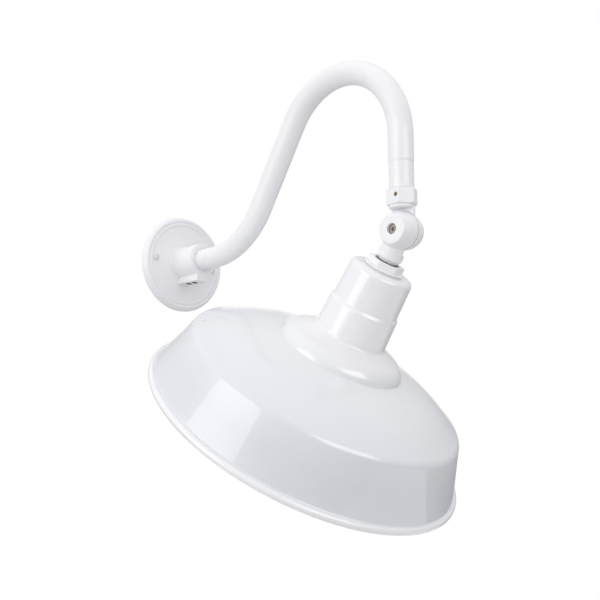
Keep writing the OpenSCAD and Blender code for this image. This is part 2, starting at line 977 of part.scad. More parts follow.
module screw_shell() {
    color("silver")
        head_frame()
            union() {
                difference() {
                    post(shell_out_r, holder_foot - shell_short, holder_foot - shell_short - web_foot);
                    post(shell_in_r, holder_foot, holder_len);
                }
                difference() {
                    post(shell_out_r, web_foot + shell_flange_t, shell_flange_t);
                    post(shell_flange_in_r, web_foot + over + shell_flange_t, shell_flange_t + 2 * over);
                }
            }
}

// A strip on the web whose raised tongue meets the lamp's tip
module centre_contact() {
    foot = -web_foot - contact_t;
    peak = foot - contact_rise;
    color("goldenrod")
        head_frame()
            translate([0, contact_w / 2, 0])
                rotate([90, 0, 0])
                    linear_extrude(height = contact_w)
                        polygon([
                            [-contact_len / 2, -web_foot],
                            [contact_len / 2, -web_foot],
                            [contact_len / 2, foot],
                            [0, foot],
                            [contact_t, peak],
                            [-contact_len / 3, peak],
                            [-contact_len / 3, peak + contact_t],
                            [-contact_t, peak + contact_t],
                            [-2 * contact_t, foot],
                            [-contact_len / 2, foot]
                        ]);
}

module terminal_places() {
    for (side = [-1, 1])
        translate([-knuckle_lead_x, side * terminal_y, 0])
            children();
}

module terminal_screws() {
    seat = holder_top + wiring_depth;
    color("goldenrod")
        head_frame()
            terminal_places()
                union() {
                    post(terminal_r, seat + terminal_depth, terminal_depth + terminal_head_h / 2);
                    post(terminal_head_r, seat, terminal_head_h);
                }
}

// Down the stem, then across to the terminal on its own side
module holder_lead(side) {
    head_top = holder_top + wiring_depth - terminal_head_h;
    level = (head_top + stem_end) / 2;
    head_frame()
        union() {
            translate([-knuckle_lead_x, side * knuckle_lead_y, -level])
                cylinder(r = lead_r, h = level - knuckle_lead_end);
            translate([-knuckle_lead_x, side * knuckle_lead_y, -level])
                sphere(r = lead_r);
            translate([-knuckle_lead_x, side * knuckle_lead_y, -level])
                rotate([-side * 90, 0, 0])
                    cylinder(r = lead_r, h = terminal_y - knuckle_lead_y);
            translate([-knuckle_lead_x, side * terminal_y, -level])
                sphere(r = lead_r);
            translate([-knuckle_lead_x, side * terminal_y, -head_top])
                cylinder(r = lead_r, h = head_top - level);
        }
}

module holder_lead_black() {
    color("black")
        holder_lead(-1);
}

module holder_lead_white() {
    color("ivory")
        holder_lead(1);
}

// ---------------------------------------------------------------- lamp

module lamp_tip() {
    color("silver")
        head_frame()
            post(lamp_tip_r, lamp_tip_at + lamp_tip_h, lamp_tip_h);
}

module lamp_insulator() {
    color("black")
        head_frame()
            rotate_extrude()
                polygon([
                    [0, -lamp_tip_at - lamp_tip_h],
                    [lamp_insulator_r, -lamp_tip_at - lamp_tip_h],
                    [lamp_base_r - lamp_base_t, -lamp_base_top],
                    [0, -lamp_base_top]
                ]);
}

module lamp_base() {
    color("silver")
        head_frame()
            difference() {
                post(lamp_base_r, lamp_base_foot, lamp_base_foot - lamp_base_top);
                post(lamp_base_r - lamp_base_t, lamp_base_foot + over,
                    lamp_base_foot - lamp_base_top - lamp_base_t + over);
            }
}

// Ball, hollow blend and neck of the glass, grown inwards by t
function glass_line(t) =
    let (
        ball_r = glass_r - t,
        neck_r = glass_neck_r - t,
        blend_r = glass_blend_r + t,
        side = neck_r + blend_r,
        up = sqrt(pow(ball_r + blend_r, 2) - pow(side, 2)),
        meet = atan2(up, side)
    )
    concat(
        [[neck_r, glass_top]],
        [for (a = [0:arc_step:meet - arc_step / 2])
            [side - blend_r * cos(a), glass_middle - up + blend_r * sin(a)]],
        [for (a = [meet:-arc_step:-90 + arc_step / 2])
            [ball_r * cos(a), glass_middle - ball_r * sin(a)]],
        [[0, glass_middle + ball_r]]
    );

module lamp_glass() {
    color("white")
        head_frame()
            mirror([0, 0, 1])
                rotate_extrude()
                    polygon(concat(glass_line(0), reversed(glass_line(glass_t))));
}

module lamp_stem() {
    color("lightblue")
        head_frame()
            rotate_extrude()
                polygon([
                    [0, -lamp_base_top - lamp_base_t],
                    [glass_neck_r - glass_t - seat_gap, -lamp_base_top - lamp_base_t],
                    [glass_neck_r - glass_t - seat_gap, -glass_top],
                    [stem_glass_r, -glass_top - 2 * stem_glass_r],
                    [stem_glass_r, -stem_glass_foot],
                    [0, -stem_glass_foot]
                ]);
}

// An open ring of wire on two legs that stand in the stem
module lamp_filament() {
    color("dimgray")
        head_frame()
            translate([0, 0, -filament_at])
                union() {
                    rotate([0, 0, 45])
                        rotate_extrude(angle = 270)
                            translate([filament_r, 0])
                                circle(r = filament_wire_r);
                    for (a = [45, 315])
                        rotate([0, 0, a])
                            translate([filament_r, 0, 0])
                                filament_leg();
                }
}

module filament_leg() {
    drop = filament_at - stem_glass_foot;
    run = filament_r - stem_glass_r / 2;
    rotate([0, -atan2(run, drop), 0])
        cylinder(r = filament_leg_r, h = norm([run, drop]) + over);
}

wall_plate();
wall_gasket();
mounting_screws();
hub_set_screws();
ground_screw();
ground_lead();
arm_tube();
arm_end_nipple();
arm_lead_black();
arm_lead_white();
swivel_upper_half();
collar_set_screw();
knuckle_bolt();
knuckle_leads();
swivel_lower_half();
bolt_washer();
knuckle_seal();
shade_locknut();
shade_seal();
shade();
lampholder_cap();
lampholder_body();
lampholder_screws();
screw_shell();
centre_contact();
terminal_screws();
holder_lead_black();
holder_lead_white();
lamp_base();
lamp_insulator();
lamp_tip();
lamp_glass();
lamp_stem();
lamp_filament();
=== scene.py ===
import json
import math

import bmesh
import bpy
from mathutils import Matrix, Vector


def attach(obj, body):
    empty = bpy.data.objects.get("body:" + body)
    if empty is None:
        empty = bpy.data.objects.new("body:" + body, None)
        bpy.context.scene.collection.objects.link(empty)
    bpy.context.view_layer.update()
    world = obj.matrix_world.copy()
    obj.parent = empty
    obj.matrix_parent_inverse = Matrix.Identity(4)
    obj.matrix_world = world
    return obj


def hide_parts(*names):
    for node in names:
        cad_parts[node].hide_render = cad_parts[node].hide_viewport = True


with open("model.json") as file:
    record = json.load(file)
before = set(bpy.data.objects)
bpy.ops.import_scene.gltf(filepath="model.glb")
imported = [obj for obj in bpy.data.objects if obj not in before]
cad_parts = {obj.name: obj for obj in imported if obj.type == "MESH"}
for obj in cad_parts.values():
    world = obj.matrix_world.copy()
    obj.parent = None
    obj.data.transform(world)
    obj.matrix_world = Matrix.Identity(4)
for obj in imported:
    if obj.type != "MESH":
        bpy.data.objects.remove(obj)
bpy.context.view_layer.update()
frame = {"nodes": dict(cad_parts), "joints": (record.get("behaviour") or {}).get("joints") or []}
scene = bpy.context.scene
nodes = frame["nodes"]
joints = {joint["name"]: joint for joint in frame["joints"]}


# ---------------------------------------------------------------- camera
# A short telephoto level with the shade, in front of the wall and to the left of
# the arm, so that it looks slightly up at the lantern.
turned, raised, rolled = math.radians(-44.06), math.radians(-7.22), math.radians(-1.43)
across = Vector((math.cos(turned), math.sin(turned), 0))
back = Vector((
    math.sin(turned) * math.cos(raised),
    -math.cos(turned) * math.cos(raised),
    math.sin(raised),
))
over = back.cross(across)
camera = bpy.data.objects.new("camera", bpy.data.cameras.new("camera"))
scene.collection.objects.link(camera)
camera.data.sensor_width = 36
camera.data.lens = 52.218
camera.matrix_world = Matrix((
    across * math.cos(rolled) + over * math.sin(rolled),
    over * math.cos(rolled) - across * math.sin(rolled),
    back,
)).transposed().to_4x4()
camera.matrix_world.translation = Vector((-0.6646, -0.9062, -0.1908))
scene.camera = camera


# ---------------------------------------------------------------- wall plate
# One aluminium casting: a round plate with a rolled edge and a raised bead, a
# drafted hub that takes the arm, and a lug under it for the set screws.
# It is coated with white powder, which softens every edge and corner.
MM = 0.001
MERGED = 0.001 * MM
CASTING_GRID = 0.66 * MM


def linear(colour):
    """An sRGB hex colour as the linear RGBA that a shader takes."""
    parts = [int(colour[i:i + 2], 16) / 255 for i in (1, 3, 5)]
    return [c / 12.92 if c <= 0.04045 else ((c + 0.055) / 1.055) ** 2.4 for c in parts] + [1]


def add(tree, kind, sockets=None, **settings):
    """Adds a node; sockets maps its inputs to values, or to what feeds them."""
    made = tree.nodes.new(kind)
    for name, value in settings.items():
        setattr(made, name, value)
    for key, value in (sockets or {}).items():
        if isinstance(value, bpy.types.Node):
            value = value.outputs[0]
        if isinstance(value, bpy.types.NodeSocket):
            tree.links.new(value, made.inputs[key])
        else:
            made.inputs[key].default_value = value
    return made


def new_finish(name):
    """An empty material and its tree."""
    finish = bpy.data.materials.new(name)
    finish.use_nodes = True
    finish.node_tree.nodes.clear()
    return finish, finish.node_tree


def every(size):
    """The scale at which a texture repeats about every size millimetres."""
    return 1 / (size * MM)


def dress(node, finish):
    """Gives a solid that is shown as it is its finish."""
    nodes[node].data.materials.clear()
    nodes[node].data.materials.append(finish)


def as_mesh(piece, name):
    """The piece with its modifiers carried out, as a plain mesh object."""
    bpy.context.view_layer.update()
    seen = piece.evaluated_get(bpy.context.evaluated_depsgraph_get())
    mesh = bpy.data.meshes.new_from_object(seen)
    bpy.data.objects.remove(piece)
    done = bpy.data.objects.new(name, mesh)
    scene.collection.objects.link(done)
    return done


def coated_casting(name, node, grid, passes):
    """A solid with its edges rounded, as a casting and the coat on it are."""
    rough = bpy.data.objects.new(name, nodes[node].data.copy())
    scene.collection.objects.link(rough)
    shell = bmesh.new()
    shell.from_mesh(rough.data)
    bmesh.ops.remove_doubles(shell, verts=shell.verts, dist=MERGED)
    shell.to_mesh(rough.data)
    shell.free()
    rough.data.materials.clear()
    skin = rough.modifiers.new("skin", "REMESH")
    skin.mode = "VOXEL"
    skin.voxel_size = grid
    skin.use_smooth_shade = True
    soft = rough.modifiers.new("soft", "SMOOTH")
    soft.factor = 0.5
    soft.iterations = passes
    return as_mesh(rough, name)


# White polyester powder coat on cast aluminium, satin. Orange peel of 1.6 mm
# breaks the highlights up finely, waves of 11 mm in the casting bend them, and
# the inner corners are painted a little grey as painted shade in the creases.
casting_coat, tree = new_finish("powder_coated_casting")
place = add(tree, "ShaderNodeTexCoord").outputs["Object"]
peel = add(tree, "ShaderNodeTexNoise", {"Vector": place, "Scale": every(1.6), "Detail": 2})
waves = add(tree, "ShaderNodeTexNoise", {"Vector": place, "Scale": every(11), "Detail": 3})
# Painted shade: concave creases, found by pointiness, go grey.
painted_crease_shade = add(tree, "ShaderNodeMapRange", {
    "Value": add(tree, "ShaderNodeNewGeometry").outputs["Pointiness"],
    "From Min": 0.44, "From Max": 0.5,
})
shade_of_white = add(tree, "ShaderNodeMix", {
    0: painted_crease_shade.outputs[0], 6: linear("#DCDCDE"), 7: linear("#F9F9FB"),
}, data_type="RGBA")
sheen = add(tree, "ShaderNodeMapRange", {"Value": waves, "To Min": 0.34, "To Max": 0.46})
ripple = add(tree, "ShaderNodeBump", {"Height": waves, "Strength": 0.18, "Distance": 0.4 * MM})
grain = add(tree, "ShaderNodeBump", {
    "Height": peel, "Strength": 0.12, "Distance": 0.12 * MM, "Normal": ripple,
})
add(tree, "ShaderNodeOutputMaterial", {"Surface": add(tree, "ShaderNodeBsdfPrincipled", {
    "Base Color": shade_of_white.outputs[2], "Roughness": sheen.outputs[0], "Normal": grain,
})})

plate = coated_casting("plate_casting", "wall_plate", CASTING_GRID, 4)
plate.data.materials.append(casting_coat)

# The insides of the two tapped bores in the lug are painted dark grey as painted
# shade, so that they look dark from below; the shade is mottled in blotches of 1 mm.
bore_shade, tree = new_finish("painted_bore_shade")
place = add(tree, "ShaderNodeTexCoord").outputs["Object"]
blotches = add(tree, "ShaderNodeTexNoise", {"Vector": place, "Scale": every(1), "Detail": 3})
tone = add(tree, "ShaderNodeMix", {0: blotches, 6: linear("#2B2A29"), 7: linear("#5C5955")},
           data_type="RGBA")
add(tree, "ShaderNodeOutputMaterial", {"Surface": add(tree, "ShaderNodeBsdfPrincipled", {
    "Base Color": tone.outputs[2], "Metallic": 0.5, "Roughness": 0.5,
})})
plate.data.materials.append(bore_shade)
# wall_place stands a piece on the wall, turned with the plate, its Z outwards.
PLATE_TURN, BORE_R, BORE_FIRST, BORE_PITCH, HUB_BORE_R = 6.4, 4.1, 20.5, 12, 14
wall_place = Matrix.Rotation(math.radians(90), 4, "X") @ Matrix.Rotation(
    math.radians(-PLATE_TURN), 4, "Z")
# Faces inside the lug's two bores take the painted bore shade.
for face in plate.data.polygons:
    x, y, z = wall_place.inverted() @ face.center / MM
    nearest = min(abs(z - BORE_FIRST), abs(z - BORE_FIRST - BORE_PITCH))
    if y < -HUB_BORE_R and math.hypot(x, nearest) < BORE_R:
        face.material_index = 1
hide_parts("wall_plate")
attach(plate, "wall")


# ---------------------------------------------------------------- wall gasket
# A ring of black foam rubber, cut from sheet, in the hollow behind the plate.
# It is matt, with closed cells 0.6 mm across whose pits break the light up.
cut_rubber, tree = new_finish("closed_cell_rubber")
place = add(tree, "ShaderNodeTexCoord").outputs["Object"]
cells = add(tree, "ShaderNodeTexVoronoi", {"Vector": place, "Scale": every(0.62)})
tone = add(tree, "ShaderNodeMix", {
    0: cells.outputs["Distance"], 6: linear("#1F2021"), 7: linear("#37383A"),
}, data_type="RGBA")
pits = add(tree, "ShaderNodeBump", {
    "Height": cells.outputs["Distance"], "Strength": 0.5, "Distance": 0.15 * MM,
})
add(tree, "ShaderNodeOutputMaterial", {"Surface": add(tree, "ShaderNodeBsdfPrincipled", {
    "Base Color": tone.outputs[2], "Roughness": 0.82, "Normal": pits,
})})
dress("wall_gasket", cut_rubber)


# ---------------------------------------------------------------- mounting screws
# Two steel round-head machine screws with a slot, painted white with the plate.
# Their threads stand out behind it and go into the wall box.
SCREW_SPAN, PLATE_FACE = 88.9, 7.6
HEAD_R, HEAD_H, SLOT_WIDE, SLOT_LONG, SLOT_DEEP = 4.7, 3.6, 1.2, 12, 1.4
PLAIN_R, PLAIN_END, THREAD_R, SHANK_LEN = 1.85, 5.6, 2.1, 25
THREAD_PITCH, THREAD_DEPTH, THREAD_STEP, SHANK_CHAMFER = 0.79, 0.42, 0.1, 0.8

# The outline is laid out round the axis as a grid and its seams are merged.
revolved = bpy.data.node_groups.new("revolved_outline", "GeometryNodeTree")
for label, kind in (("Outline", "Geometry"), ("Steps round", "Int"), ("Finish", "Material")):
    revolved.interface.new_socket(label, in_out="INPUT", socket_type="NodeSocket" + kind)
revolved.interface.new_socket("Piece", in_out="OUTPUT", socket_type="NodeSocketGeometry")
given = add(revolved, "NodeGroupInput")
rows = add(revolved, "GeometryNodeAttributeDomainSize", {0: given.outputs["Outline"]})
columns = add(revolved, "ShaderNodeMath", {
    0: given.outputs["Steps round"], 1: 1,
}, operation="ADD")
net = add(revolved, "GeometryNodeMeshGrid", {
    "Vertices X": columns, "Vertices Y": rows.outputs["Point Count"],
})
count = add(revolved, "GeometryNodeInputIndex")
row = add(revolved, "ShaderNodeMath", {0: count, 1: rows}, operation="MODULO")
share = add(revolved, "ShaderNodeMath", {0: count, 1: rows}, operation="DIVIDE")
column = add(revolved, "ShaderNodeMath", {0: share}, operation="FLOOR")
turns = add(revolved, "ShaderNodeMath", {
    0: column, 1: given.outputs["Steps round"],
}, operation="DIVIDE")
angle = add(revolved, "ShaderNodeMath", {0: turns, 1: 2 * math.pi}, operation="MULTIPLY")
on_outline = add(revolved, "GeometryNodeSampleIndex", {"Geometry": given.outputs["Outline"]},
                 data_type="FLOAT_VECTOR")
point = add(revolved, "GeometryNodeInputPosition")
revolved.links.new(point.outputs["Position"], on_outline.inputs["Value"])
revolved.links.new(row.outputs["Value"], on_outline.inputs["Index"])
around = add(revolved, "ShaderNodeVectorRotate", {"Vector": on_outline, "Angle": angle},
             rotation_type="Z_AXIS")
laid = add(revolved, "GeometryNodeSetPosition", {
    "Geometry": net.outputs["Mesh"], "Position": around,
})
closed = add(revolved, "GeometryNodeMergeByDistance", {"Geometry": laid, "Distance": 2 * MERGED})
smooth = add(revolved, "GeometryNodeSetShadeSmooth", {"Geometry": closed})
real = add(revolved, "GeometryNodeRealizeInstances", {0: smooth})
finished = add(revolved, "GeometryNodeSetMaterial", {
    "Geometry": real, "Material": given.outputs["Finish"],
})
add(revolved, "NodeGroupOutput", {0: finished})

# Like pieces set out in a row at equal steps.
in_a_row = bpy.data.node_groups.new("pieces_in_a_row", "GeometryNodeTree")
for label, kind in (("Piece", "Geometry"), ("Count", "Int"), ("First", "Vector"),
                    ("Step", "Vector"), ("Finish", "Material")):
    in_a_row.interface.new_socket(label, in_out="INPUT", socket_type="NodeSocket" + kind)
in_a_row.interface.new_socket("Pieces", in_out="OUTPUT", socket_type="NodeSocketGeometry")
given = add(in_a_row, "NodeGroupInput")
line = add(in_a_row, "GeometryNodeMeshLine", {
    "Count": given.outputs["Count"], "Start Location": given.outputs["First"],
    "Offset": given.outputs["Step"],
})
set_out = add(in_a_row, "GeometryNodeInstanceOnPoints", {
    "Points": line, "Instance": given.outputs["Piece"],
})
real = add(in_a_row, "GeometryNodeRealizeInstances", {0: set_out})
finished = add(in_a_row, "GeometryNodeSetMaterial", {
    "Geometry": real, "Material": given.outputs["Finish"],
})
add(in_a_row, "NodeGroupOutput", {0: finished})


def grow(piece, name, recipe, sizes):
    """Runs a node tree on the piece, with its sizes set by the inputs' names."""
    made = piece.modifiers.new("made", "NODES")
    made.node_group = recipe
    for socket in recipe.interface.items_tree:
        if socket.in_out == "INPUT" and socket.name in sizes:
            made[socket.identifier] = sizes[socket.name]
    return as_mesh(piece, name)


def outward(piece):
    """Turns every face of a closed piece outwards."""
    shell = bmesh.new()
    shell.from_mesh(piece.data)
    bmesh.ops.recalc_face_normals(shell, faces=shell.faces)
    if shell.calc_volume(signed=True) < 0:
        bmesh.ops.reverse_faces(shell, faces=shell.faces)
    shell.to_mesh(piece.data)
    shell.free()


def revolve(name, outline, steps, finish):
    """A closed piece turned from an outline of [radius, height] in millimetres."""
    points = bpy.data.meshes.new(name)
    points.from_pydata([(r * MM, 0, z * MM) for r, z in outline], [], [])
    piece = bpy.data.objects.new(name, points)
    scene.collection.objects.link(piece)
    piece = grow(piece, name, revolved, {"Steps round": steps, "Finish": finish})
    outward(piece)
    return piece


def cut_thread(piece, pitch, depth, low, high):
    """Rolls a thread into a round piece between two heights, in millimetres."""
    for vertex in piece.data.vertices:
        x, y, z = vertex.co / MM
        reach = min(1, max(0, (z - low) / pitch), max(0, (high - z) / pitch))
        radius = math.hypot(x, y)
        if radius > depth * 1.5 and reach > 0:
            wave = 0.5 - 0.5 * math.cos(2 * math.pi * z / pitch - math.atan2(y, x))
            vertex.co.xy *= 1 - depth * reach * wave / radius


# Satin paint with runs of 1.4 mm, so that each small dome glints a bit unevenly.
screw_paint, tree = new_finish("painted_steel")
place = add(tree, "ShaderNodeTexCoord").outputs["Object"]
runs = add(tree, "ShaderNodeTexNoise", {"Vector": place, "Scale": every(1.4), "Detail": 2})
tone = add(tree, "ShaderNodeMix", {0: runs, 6: linear("#E4E4E6"), 7: linear("#F0F0F3")},
           data_type="RGBA")
skin = add(tree, "ShaderNodeBump", {"Height": runs, "Strength": 0.2, "Distance": 0.1 * MM})
add(tree, "ShaderNodeOutputMaterial", {"Surface": add(tree, "ShaderNodeBsdfPrincipled", {
    "Base Color": tone.outputs[2], "Roughness": 0.3, "Normal": skin,
})})

dome_r = (HEAD_R ** 2 + HEAD_H ** 2) / (2 * HEAD_H)
rise = math.asin(HEAD_R / dome_r)
dome = [(dome_r * math.sin(rise * i / 14), HEAD_H - dome_r + dome_r * math.cos(rise * i / 14))
        for i in range(15)]
threaded = round((SHANK_LEN - PLAIN_END - SHANK_CHAMFER) / THREAD_STEP)
shank = [(PLAIN_R, 0), (PLAIN_R, -PLAIN_END)] + [
    (THREAD_R, -PLAIN_END - THREAD_STEP * i) for i in range(threaded + 1)]
point = [(THREAD_R - SHANK_CHAMFER, -SHANK_LEN), (0, -SHANK_LEN)]
screw = revolve("mounting_screw", dome + shank + point, 32, screw_paint)
cut_thread(screw, THREAD_PITCH, THREAD_DEPTH, -SHANK_LEN, -PLAIN_END)
slot = bpy.data.objects.new("slot", bpy.data.meshes.new("slot"))
block = bmesh.new()
bmesh.ops.create_cube(block, size=1, matrix=Matrix.LocRotScale(
    (0, 0, HEAD_H * MM), None, (SLOT_WIDE * MM, SLOT_LONG * MM, 2 * SLOT_DEEP * MM)))
block.to_mesh(slot.data)
block.free()
scene.collection.objects.link(slot)
cut = screw.modifiers.new("slot", "BOOLEAN")
cut.object = slot
cut.solver = "EXACT"
screw = as_mesh(screw, "mounting_screw")
bpy.data.objects.remove(slot)
screws = grow(screw, "mounting_screw_pair", in_a_row, {
    "Count": 2, "First": (-SCREW_SPAN / 2 * MM, 0, PLATE_FACE * MM),
    "Step": (SCREW_SPAN * MM, 0, 0), "Finish": screw_paint,
})
screws.data.transform(wall_place)
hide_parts("mounting_screws")
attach(screws, "wall")


# ---------------------------------------------------------------- set screws
# Black oxide socket set screws: two in the lug clamp the arm, and one in the
# collar stops the swivel. They sit deep, so only their dark sockets show.
# The oxide has a bloom of 1.1 mm, duller in places, and looks almost black.
black_oxide, tree = new_finish("black_oxide_steel")
place = add(tree, "ShaderNodeTexCoord").outputs["Object"]
bloom = add(tree, "ShaderNodeTexNoise", {"Vector": place, "Scale": every(1.1), "Detail": 4})
tone = add(tree, "ShaderNodeMix", {0: bloom, 6: linear("#0C0C0E"), 7: linear("#1E1D1F")},
           data_type="RGBA")
worn = add(tree, "ShaderNodeMapRange", {"Value": bloom, "To Min": 0.38, "To Max": 0.62})
add(tree, "ShaderNodeOutputMaterial", {"Surface": add(tree, "ShaderNodeBsdfPrincipled", {
    "Base Color": tone.outputs[2], "Metallic": 0.4, "Roughness": worn.outputs[0],
})})
dress("hub_set_screws", black_oxide)

# The collar's screw has gone brown in the open: freckles of 0.8 mm, some of them
# still bright, so that it looks warmer than the bores of the other two.
browned, tree = new_finish("browned_steel")
place = add(tree, "ShaderNodeTexCoord").outputs["Object"]
freckles = add(tree, "ShaderNodeTexNoise", {"Vector": place, "Scale": every(0.8), "Detail": 4})
tone = add(tree, "ShaderNodeMix", {0: freckles, 6: linear("#6B5443"), 7: linear("#B79C82")},
           data_type="RGBA")
add(tree, "ShaderNodeOutputMaterial", {"Surface": add(tree, "ShaderNodeBsdfPrincipled", {
    "Base Color": tone.outputs[2], "Metallic": 0.6, "Roughness": 0.35,
})})
dress("collar_set_screw", browned)


# ---------------------------------------------------------------- ground wire
# A green painted hex screw in the back of the plate, and the green lead that
# goes from it into the wall box.
# The paint is scuffed every 1.2 mm or so, which leaves it half matt.
green_paint, tree = new_finish("green_painted_steel")
place = add(tree, "ShaderNodeTexCoord").outputs["Object"]
scuffs = add(tree, "ShaderNodeTexNoise", {"Vector": place, "Scale": every(1.2), "Detail": 5})
tone = add(tree, "ShaderNodeMix", {0: scuffs, 6: linear("#1D6B35"), 7: linear("#2E8A49")},
           data_type="RGBA")
worn = add(tree, "ShaderNodeMapRange", {"Value": scuffs, "To Min": 0.3, "To Max": 0.5})
add(tree, "ShaderNodeOutputMaterial", {"Surface": add(tree, "ShaderNodeBsdfPrincipled", {
    "Base Color": tone.outputs[2], "Roughness": worn.outputs[0],
})})
dress("ground_screw", green_paint)


def drawn_insulation(name, low, high):
    """Extruded PVC: an even colour with draw marks of 2 mm that dull its gloss."""
    finish, tree = new_finish(name)
    place = add(tree, "ShaderNodeTexCoord").outputs["Object"]
    marks = add(tree, "ShaderNodeTexNoise", {"Vector": place, "Scale": every(2), "Detail": 3})
    tone = add(tree, "ShaderNodeMix", {0: marks, 6: linear(low), 7: linear(high)},
               data_type="RGBA")
    skin = add(tree, "ShaderNodeBump", {"Height": marks, "Strength": 0.15, "Distance": 0.08 * MM})
    add(tree, "ShaderNodeOutputMaterial", {"Surface": add(tree, "ShaderNodeBsdfPrincipled", {
        "Base Color": tone.outputs[2], "Roughness": 0.48, "Normal": skin,
    })})
    return finish


dress("ground_lead", drawn_insulation("green_pvc", "#1F7A3C", "#2A9450"))


# ---------------------------------------------------------------- arm
# Aluminium pipe of about three-quarter inch, bent twice on a mandrel and turned
# down at its end, where the swivel's nipple screws in. It has the same white
# powder coat as the castings, but on a smooth drawn surface.
TUBE_R, TUBE_WALL, TURNED_R = 13.0, 2.6, 12.7
LEAD_IN, RISE_BEND_R, RISE_ANGLE, RISE_LEN = 69.1, 107.9, 55.4, 103.1
TOP_BEND_R, DROP_LEN, END_LEAN, TURNED_LEN, HUB_FLOOR = 84.6, 56, 1.5, 27.5, 10
TURNED_STEP, PATH_STEP = 0.6, 1.6


def walk(start, moves, step):
    """Points along straights and bends in a plane; a move is (length, radius, turn)."""
    (x, y), heading, points = start, 0.0, [start]
    for length, radius, turn in moves:
        count = max(1, round((length or radius * math.radians(abs(turn))) / step))
        for _ in range(count):
            if radius:
                half = math.radians(turn) / count / 2
                chord = 2 * radius * math.sin(abs(half))
                heading += half
                x, y = x + chord * math.cos(heading), y + chord * math.sin(heading)
                heading += half
            else:
                stride = length / count
                x, y = x + stride * math.cos(heading), y + stride * math.sin(heading)
            points.append((x, y))
    return points


# A round tube along a path, with its far end turned down to a smaller radius.
swept = bpy.data.node_groups.new("swept_tube", "GeometryNodeTree")
for label, kind in (("Path", "Geometry"), ("Radius", "Float"), ("End radius", "Float"),
                    ("End length", "Float"), ("End step", "Float"), ("Steps round", "Int"),
                    ("Finish", "Material")):
    swept.interface.new_socket(label, in_out="INPUT", socket_type="NodeSocket" + kind)
swept.interface.new_socket("Tube", in_out="OUTPUT", socket_type="NodeSocketGeometry")
given = add(swept, "NodeGroupInput")
ring = add(swept, "GeometryNodeCurvePrimitiveCircle", {
    "Resolution": given.outputs["Steps round"], "Radius": given.outputs["Radius"],
})
along = add(swept, "GeometryNodeSplineParameter").outputs["Length"]
whole = add(swept, "GeometryNodeSplineLength")
left = add(swept, "ShaderNodeMath", {0: whole.outputs["Length"], 1: along}, operation="SUBTRACT")
shoulder = add(swept, "ShaderNodeMath", {
    0: given.outputs["End length"], 1: given.outputs["End step"],
}, operation="ADD")
end_share = add(swept, "ShaderNodeMath", {
    0: given.outputs["End radius"], 1: given.outputs["Radius"],
}, operation="DIVIDE")
width = add(swept, "ShaderNodeMapRange", {
    "Value": left, "From Min": given.outputs["End length"], "From Max": shoulder,
    "To Min": end_share, "To Max": 1,
})
wound = add(swept, "GeometryNodeCurveToMesh", {
    "Curve": given.outputs["Path"], "Profile Curve": ring, "Scale": width.outputs[0],
})
smooth = add(swept, "GeometryNodeSetShadeSmooth", {"Geometry": wound})
real = add(swept, "GeometryNodeRealizeInstances", {0: smooth})
finished = add(swept, "GeometryNodeSetMaterial", {
    "Geometry": real, "Material": given.outputs["Finish"],
})
add(swept, "NodeGroupOutput", {0: finished})


def path_of(name, points):
    """An open curve through points given in millimetres."""
    curve = bpy.data.curves.new(name, "CURVE")
    curve.dimensions = "3D"
    spline = curve.splines.new("POLY")
    spline.points.add(len(points) - 1)
    for knot, (x, y, z) in zip(spline.points, points):
        knot.co = (x * MM, y * MM, z * MM, 1)
    piece = bpy.data.objects.new(name, curve)
    scene.collection.objects.link(piece)
    return piece


# Smoother than on the castings: low orange peel of 2.4 mm, and flow of 22 mm that
# varies the gloss, so that long soft highlights run along the pipe unbroken.
tube_coat, tree = new_finish("powder_coated_pipe")
place = add(tree, "ShaderNodeTexCoord").outputs["Object"]
peel = add(tree, "ShaderNodeTexNoise", {"Vector": place, "Scale": every(2.4), "Detail": 2})
flow = add(tree, "ShaderNodeTexNoise", {"Vector": place, "Scale": every(22), "Detail": 2})
tone = add(tree, "ShaderNodeMix", {0: flow, 6: linear("#F8F8FA"), 7: linear("#FCFCFD")},
           data_type="RGBA")
sheen = add(tree, "ShaderNodeMapRange", {"Value": flow, "To Min": 0.24, "To Max": 0.32})
skin = add(tree, "ShaderNodeBump", {"Height": peel, "Strength": 0.1, "Distance": 0.1 * MM})
add(tree, "ShaderNodeOutputMaterial", {"Surface": add(tree, "ShaderNodeBsdfPrincipled", {
    "Base Color": tone.outputs[2], "Roughness": sheen.outputs[0], "Normal": skin,
})})

centreline = walk((HUB_FLOOR, 0), [
    (LEAD_IN - HUB_FLOOR, 0, 0), (0, RISE_BEND_R, RISE_ANGLE), (RISE_LEN, 0, 0),
    (0, TOP_BEND_R, -180 - END_LEAN + (90 - RISE_ANGLE)),
    (DROP_LEN - TURNED_LEN - TURNED_STEP, 0, 0), (TURNED_STEP, 0, 0), (TURNED_LEN, 0, 0),
], PATH_STEP)
arm = grow(path_of("arm_pipe", [(0, -out, up) for out, up in centreline]), "arm_pipe", swept, {
    "Radius": TUBE_R * MM, "End radius": TURNED_R * MM, "End length": TURNED_LEN * MM,
    "End step": TURNED_STEP * MM, "Steps round": 72, "Finish": tube_coat,
})
bore = arm.modifiers.new("bore", "SOLIDIFY")
bore.thickness = TUBE_WALL * MM
bore.offset = -1
arm = as_mesh(arm, "arm_pipe")
outward(arm)

# The coat bridges the joint round the arm in the hub's mouth as a small fillet.
FILLET_R, FILLET_AT, FILLET_ROUND = 13.4, 44.7, 0.8
fillet = revolve("coat_fillet", [
    (FILLET_R + FILLET_ROUND * math.cos(math.pi * k / 6),
     FILLET_AT + FILLET_ROUND * math.sin(math.pi * k / 6)) for k in range(13)
], 96, tube_coat)
fillet.data.transform(wall_place)
joined = bmesh.new()
joined.from_mesh(arm.data)
joined.from_mesh(fillet.data)
joined.to_mesh(arm.data)
joined.free()
bpy.data.objects.remove(fillet)
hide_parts("arm_tube")
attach(arm, "wall")


